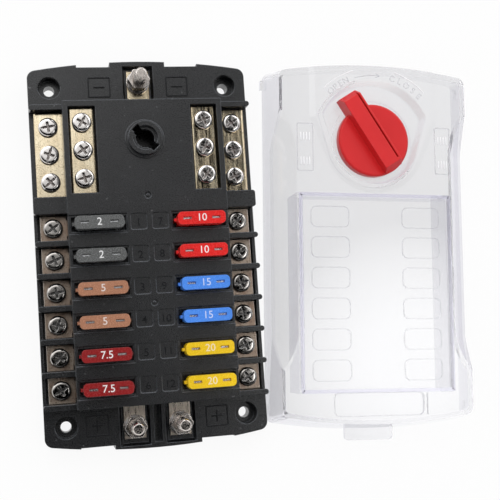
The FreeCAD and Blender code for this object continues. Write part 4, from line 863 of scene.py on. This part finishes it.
# Beside the finger recess a short line, and round its edge a thin one.
fingerLine = {"x": 21.0, "y": -68.0, "width": 0.5, "length": 9.0, "thick": 0.35, "bevel": 0.12}
pieces.append(makeBar("fingerLine", fingerLine["x"], fingerLine["y"], ribZ, fingerLine["width"],
                      fingerLine["length"], fingerLine["thick"], fingerLine["bevel"]))
fingerEdge = {"centre": -67.95, "width": 39.6, "length": 10.0, "corner": 2.4, "line": 0.4, "thick": 0.3}
pieces.append(makeFrame("fingerEdge", 0, fingerEdge["centre"], ribZ, fingerEdge["width"],
                        fingerEdge["length"], fingerEdge["corner"], fingerEdge["line"], fingerEdge["thick"]))
for name, parts, material in (("coverRelief", pieces, clear), ("coverRibs", whitePieces, reliefHighlight)):
    marks = joinAll(name, parts)
    marks.data.transform(coverPlace)
    dress(marks, material)
    finishPiece(marks, "cover_shell")

windowRim = {"centre": -21.26, "width": 67.4, "length": 83.7, "corner": 0.8, "line": 1.5, "thick": 0.25,
             "sink": 0.06}
rim = makeFrame("windowRim", 0, windowRim["centre"], cover["face"] - windowRim["sink"], windowRim["width"],
                windowRim["length"], windowRim["corner"], windowRim["line"], windowRim["thick"])
rim.data.transform(coverPlace)
dress(rim, clearRim)
finishPiece(rim, "cover_shell")
print("cover relief set")

floorLook = {"size": 4.0, "x": 0.05, "z": -0.0003, "colour": (0.88, 0.88, 0.88, 1), "roughness": 0.9,
             "shine": 0.1, "white": 0.9}
deselectAll()
bpy.ops.mesh.primitive_plane_add(size=floorLook["size"], location=(floorLook["x"], 0, floorLook["z"]))
floor = bpy.context.active_object
floor.name = "floor"
material, tree, shader = newMaterial("paleFloor")
setShader(tree, shader, Base_Color=floorLook["colour"], Roughness=floorLook["roughness"],
          Specular_IOR_Level=floorLook["shine"])
path = addNode(tree, "LightPath").outputs
seen = calculate(tree, "MAXIMUM", path["Is Camera Ray"], path["Is Glossy Ray"])
seen = calculate(tree, "MAXIMUM", seen, path["Is Transmission Ray"])
glow = addNode(tree, "Emission", {"Color": (1, 1, 1, 1), "Strength": 1.0})
mixed = addNode(tree, "MixShader", {0: calculate(tree, "MULTIPLY", seen, floorLook["white"]),
                                    1: shader.outputs[0], 2: glow.outputs[0]})
plug(tree, nodeOf(tree, "OUTPUT_MATERIAL").inputs["Surface"], mixed.outputs[0])
floor.data.materials.append(material)

# The room's light on the object, and what glossy surfaces find in it: white all round, and overhead a dark
# ceiling that brightens towards the upper end, with a dark strip over the right of the block and a glow over
# the cover.
room = {"lightWay": (-0.1, 0.62, 0.78), "lightRange": (-0.35, 0.9), "light": (0.5, 1.1),
        "ceilingRange": (0.02, 0.50), "ceiling": (0.0, 3.0), "overheadRange": (0.30, 0.60),
        "stripLeft": (0.06, 0.12), "stripRight": (0.25, 0.31), "strip": 0.0,
        "glowWay": (0.357, -0.035, 0.934), "glowAngles": (8, 2), "glow": 5.5}
world = bpy.data.worlds.new("softRoom")
bpy.context.scene.world = world
world.use_nodes = True
world.cycles.sampling_method = "NONE"  # so that each kind of ray gets its own level
tree = world.node_tree
direction = addNode(tree, "TexCoord").outputs["Generated"]
light = spread(tree, dotProduct(tree, direction, room["lightWay"]), *room["lightRange"], *room["light"])
shine = spread(tree, partOf(tree, direction, "Y"), *room["ceilingRange"], *room["ceiling"])
across = partOf(tree, direction, "X")
strip = calculate(tree, "MAXIMUM", spread(tree, across, *room["stripLeft"], 1.0, room["strip"]),
                  spread(tree, across, *room["stripRight"], room["strip"], 1.0))
shine = calculate(tree, "MULTIPLY", shine, strip)
towardsGlow = dotProduct(tree, direction, Vector(room["glowWay"]).normalized())
glowRange = [math.cos(math.radians(angle)) for angle in room["glowAngles"]]
shine = calculate(tree, "ADD", shine, spread(tree, towardsGlow, *glowRange, 0.0, room["glow"]))
overhead = spread(tree, partOf(tree, direction, "Z"), *room["overheadRange"])
shine = mixLevel(tree, overhead, 1.0, shine)
path = addNode(tree, "LightPath").outputs
# A ray that has been inside the clear plastic finds white all over.
inside = calculate(tree, "MINIMUM", path["Transmission Depth"], 1.0)
level = mixLevel(tree, path["Is Glossy Ray"], light, mixLevel(tree, inside, shine, 1.0))
seen = calculate(tree, "MAXIMUM", path["Is Camera Ray"], path["Is Transmission Ray"])
background = nodeOf(tree, "BACKGROUND")
plug(tree, background.inputs["Color"], (1, 1, 1, 1))
plug(tree, background.inputs["Strength"], mixLevel(tree, seen, level, 1.0))

key = {"place": (-0.15, 0.55, 1.05), "aim": (0.05, 0, 0), "power": 2.0, "size": 0.8}
deselectAll()
bpy.ops.object.light_add(type="AREA", location=key["place"])
lamp = bpy.context.active_object
lamp.name = "softKey"
lamp.data.energy = key["power"]
lamp.data.size = key["size"]
lamp.visible_glossy = False  # gloss finds the room's own ceiling instead
lamp.rotation_euler = (Vector(key["aim"]) - Vector(key["place"])).to_track_quat("-Z", "Y").to_euler()

view = {"place": (-0.044305, -0.037683, 0.413564), "turn": (5.84967, -11.84943, -4.0139), "lens": 70.99,
        "sensor": 36.0, "near": 0.01}
deselectAll()
bpy.ops.object.camera_add(location=view["place"], rotation=[math.radians(part) for part in view["turn"]])
camera = bpy.context.active_object
camera.name = "photoCamera"
camera.data.lens = view["lens"]
camera.data.sensor_width = view["sensor"]
camera.data.clip_start = view["near"]
bpy.context.scene.camera = camera
bpy.context.scene.view_settings.view_transform = "Standard"
print("floor, light and camera set")
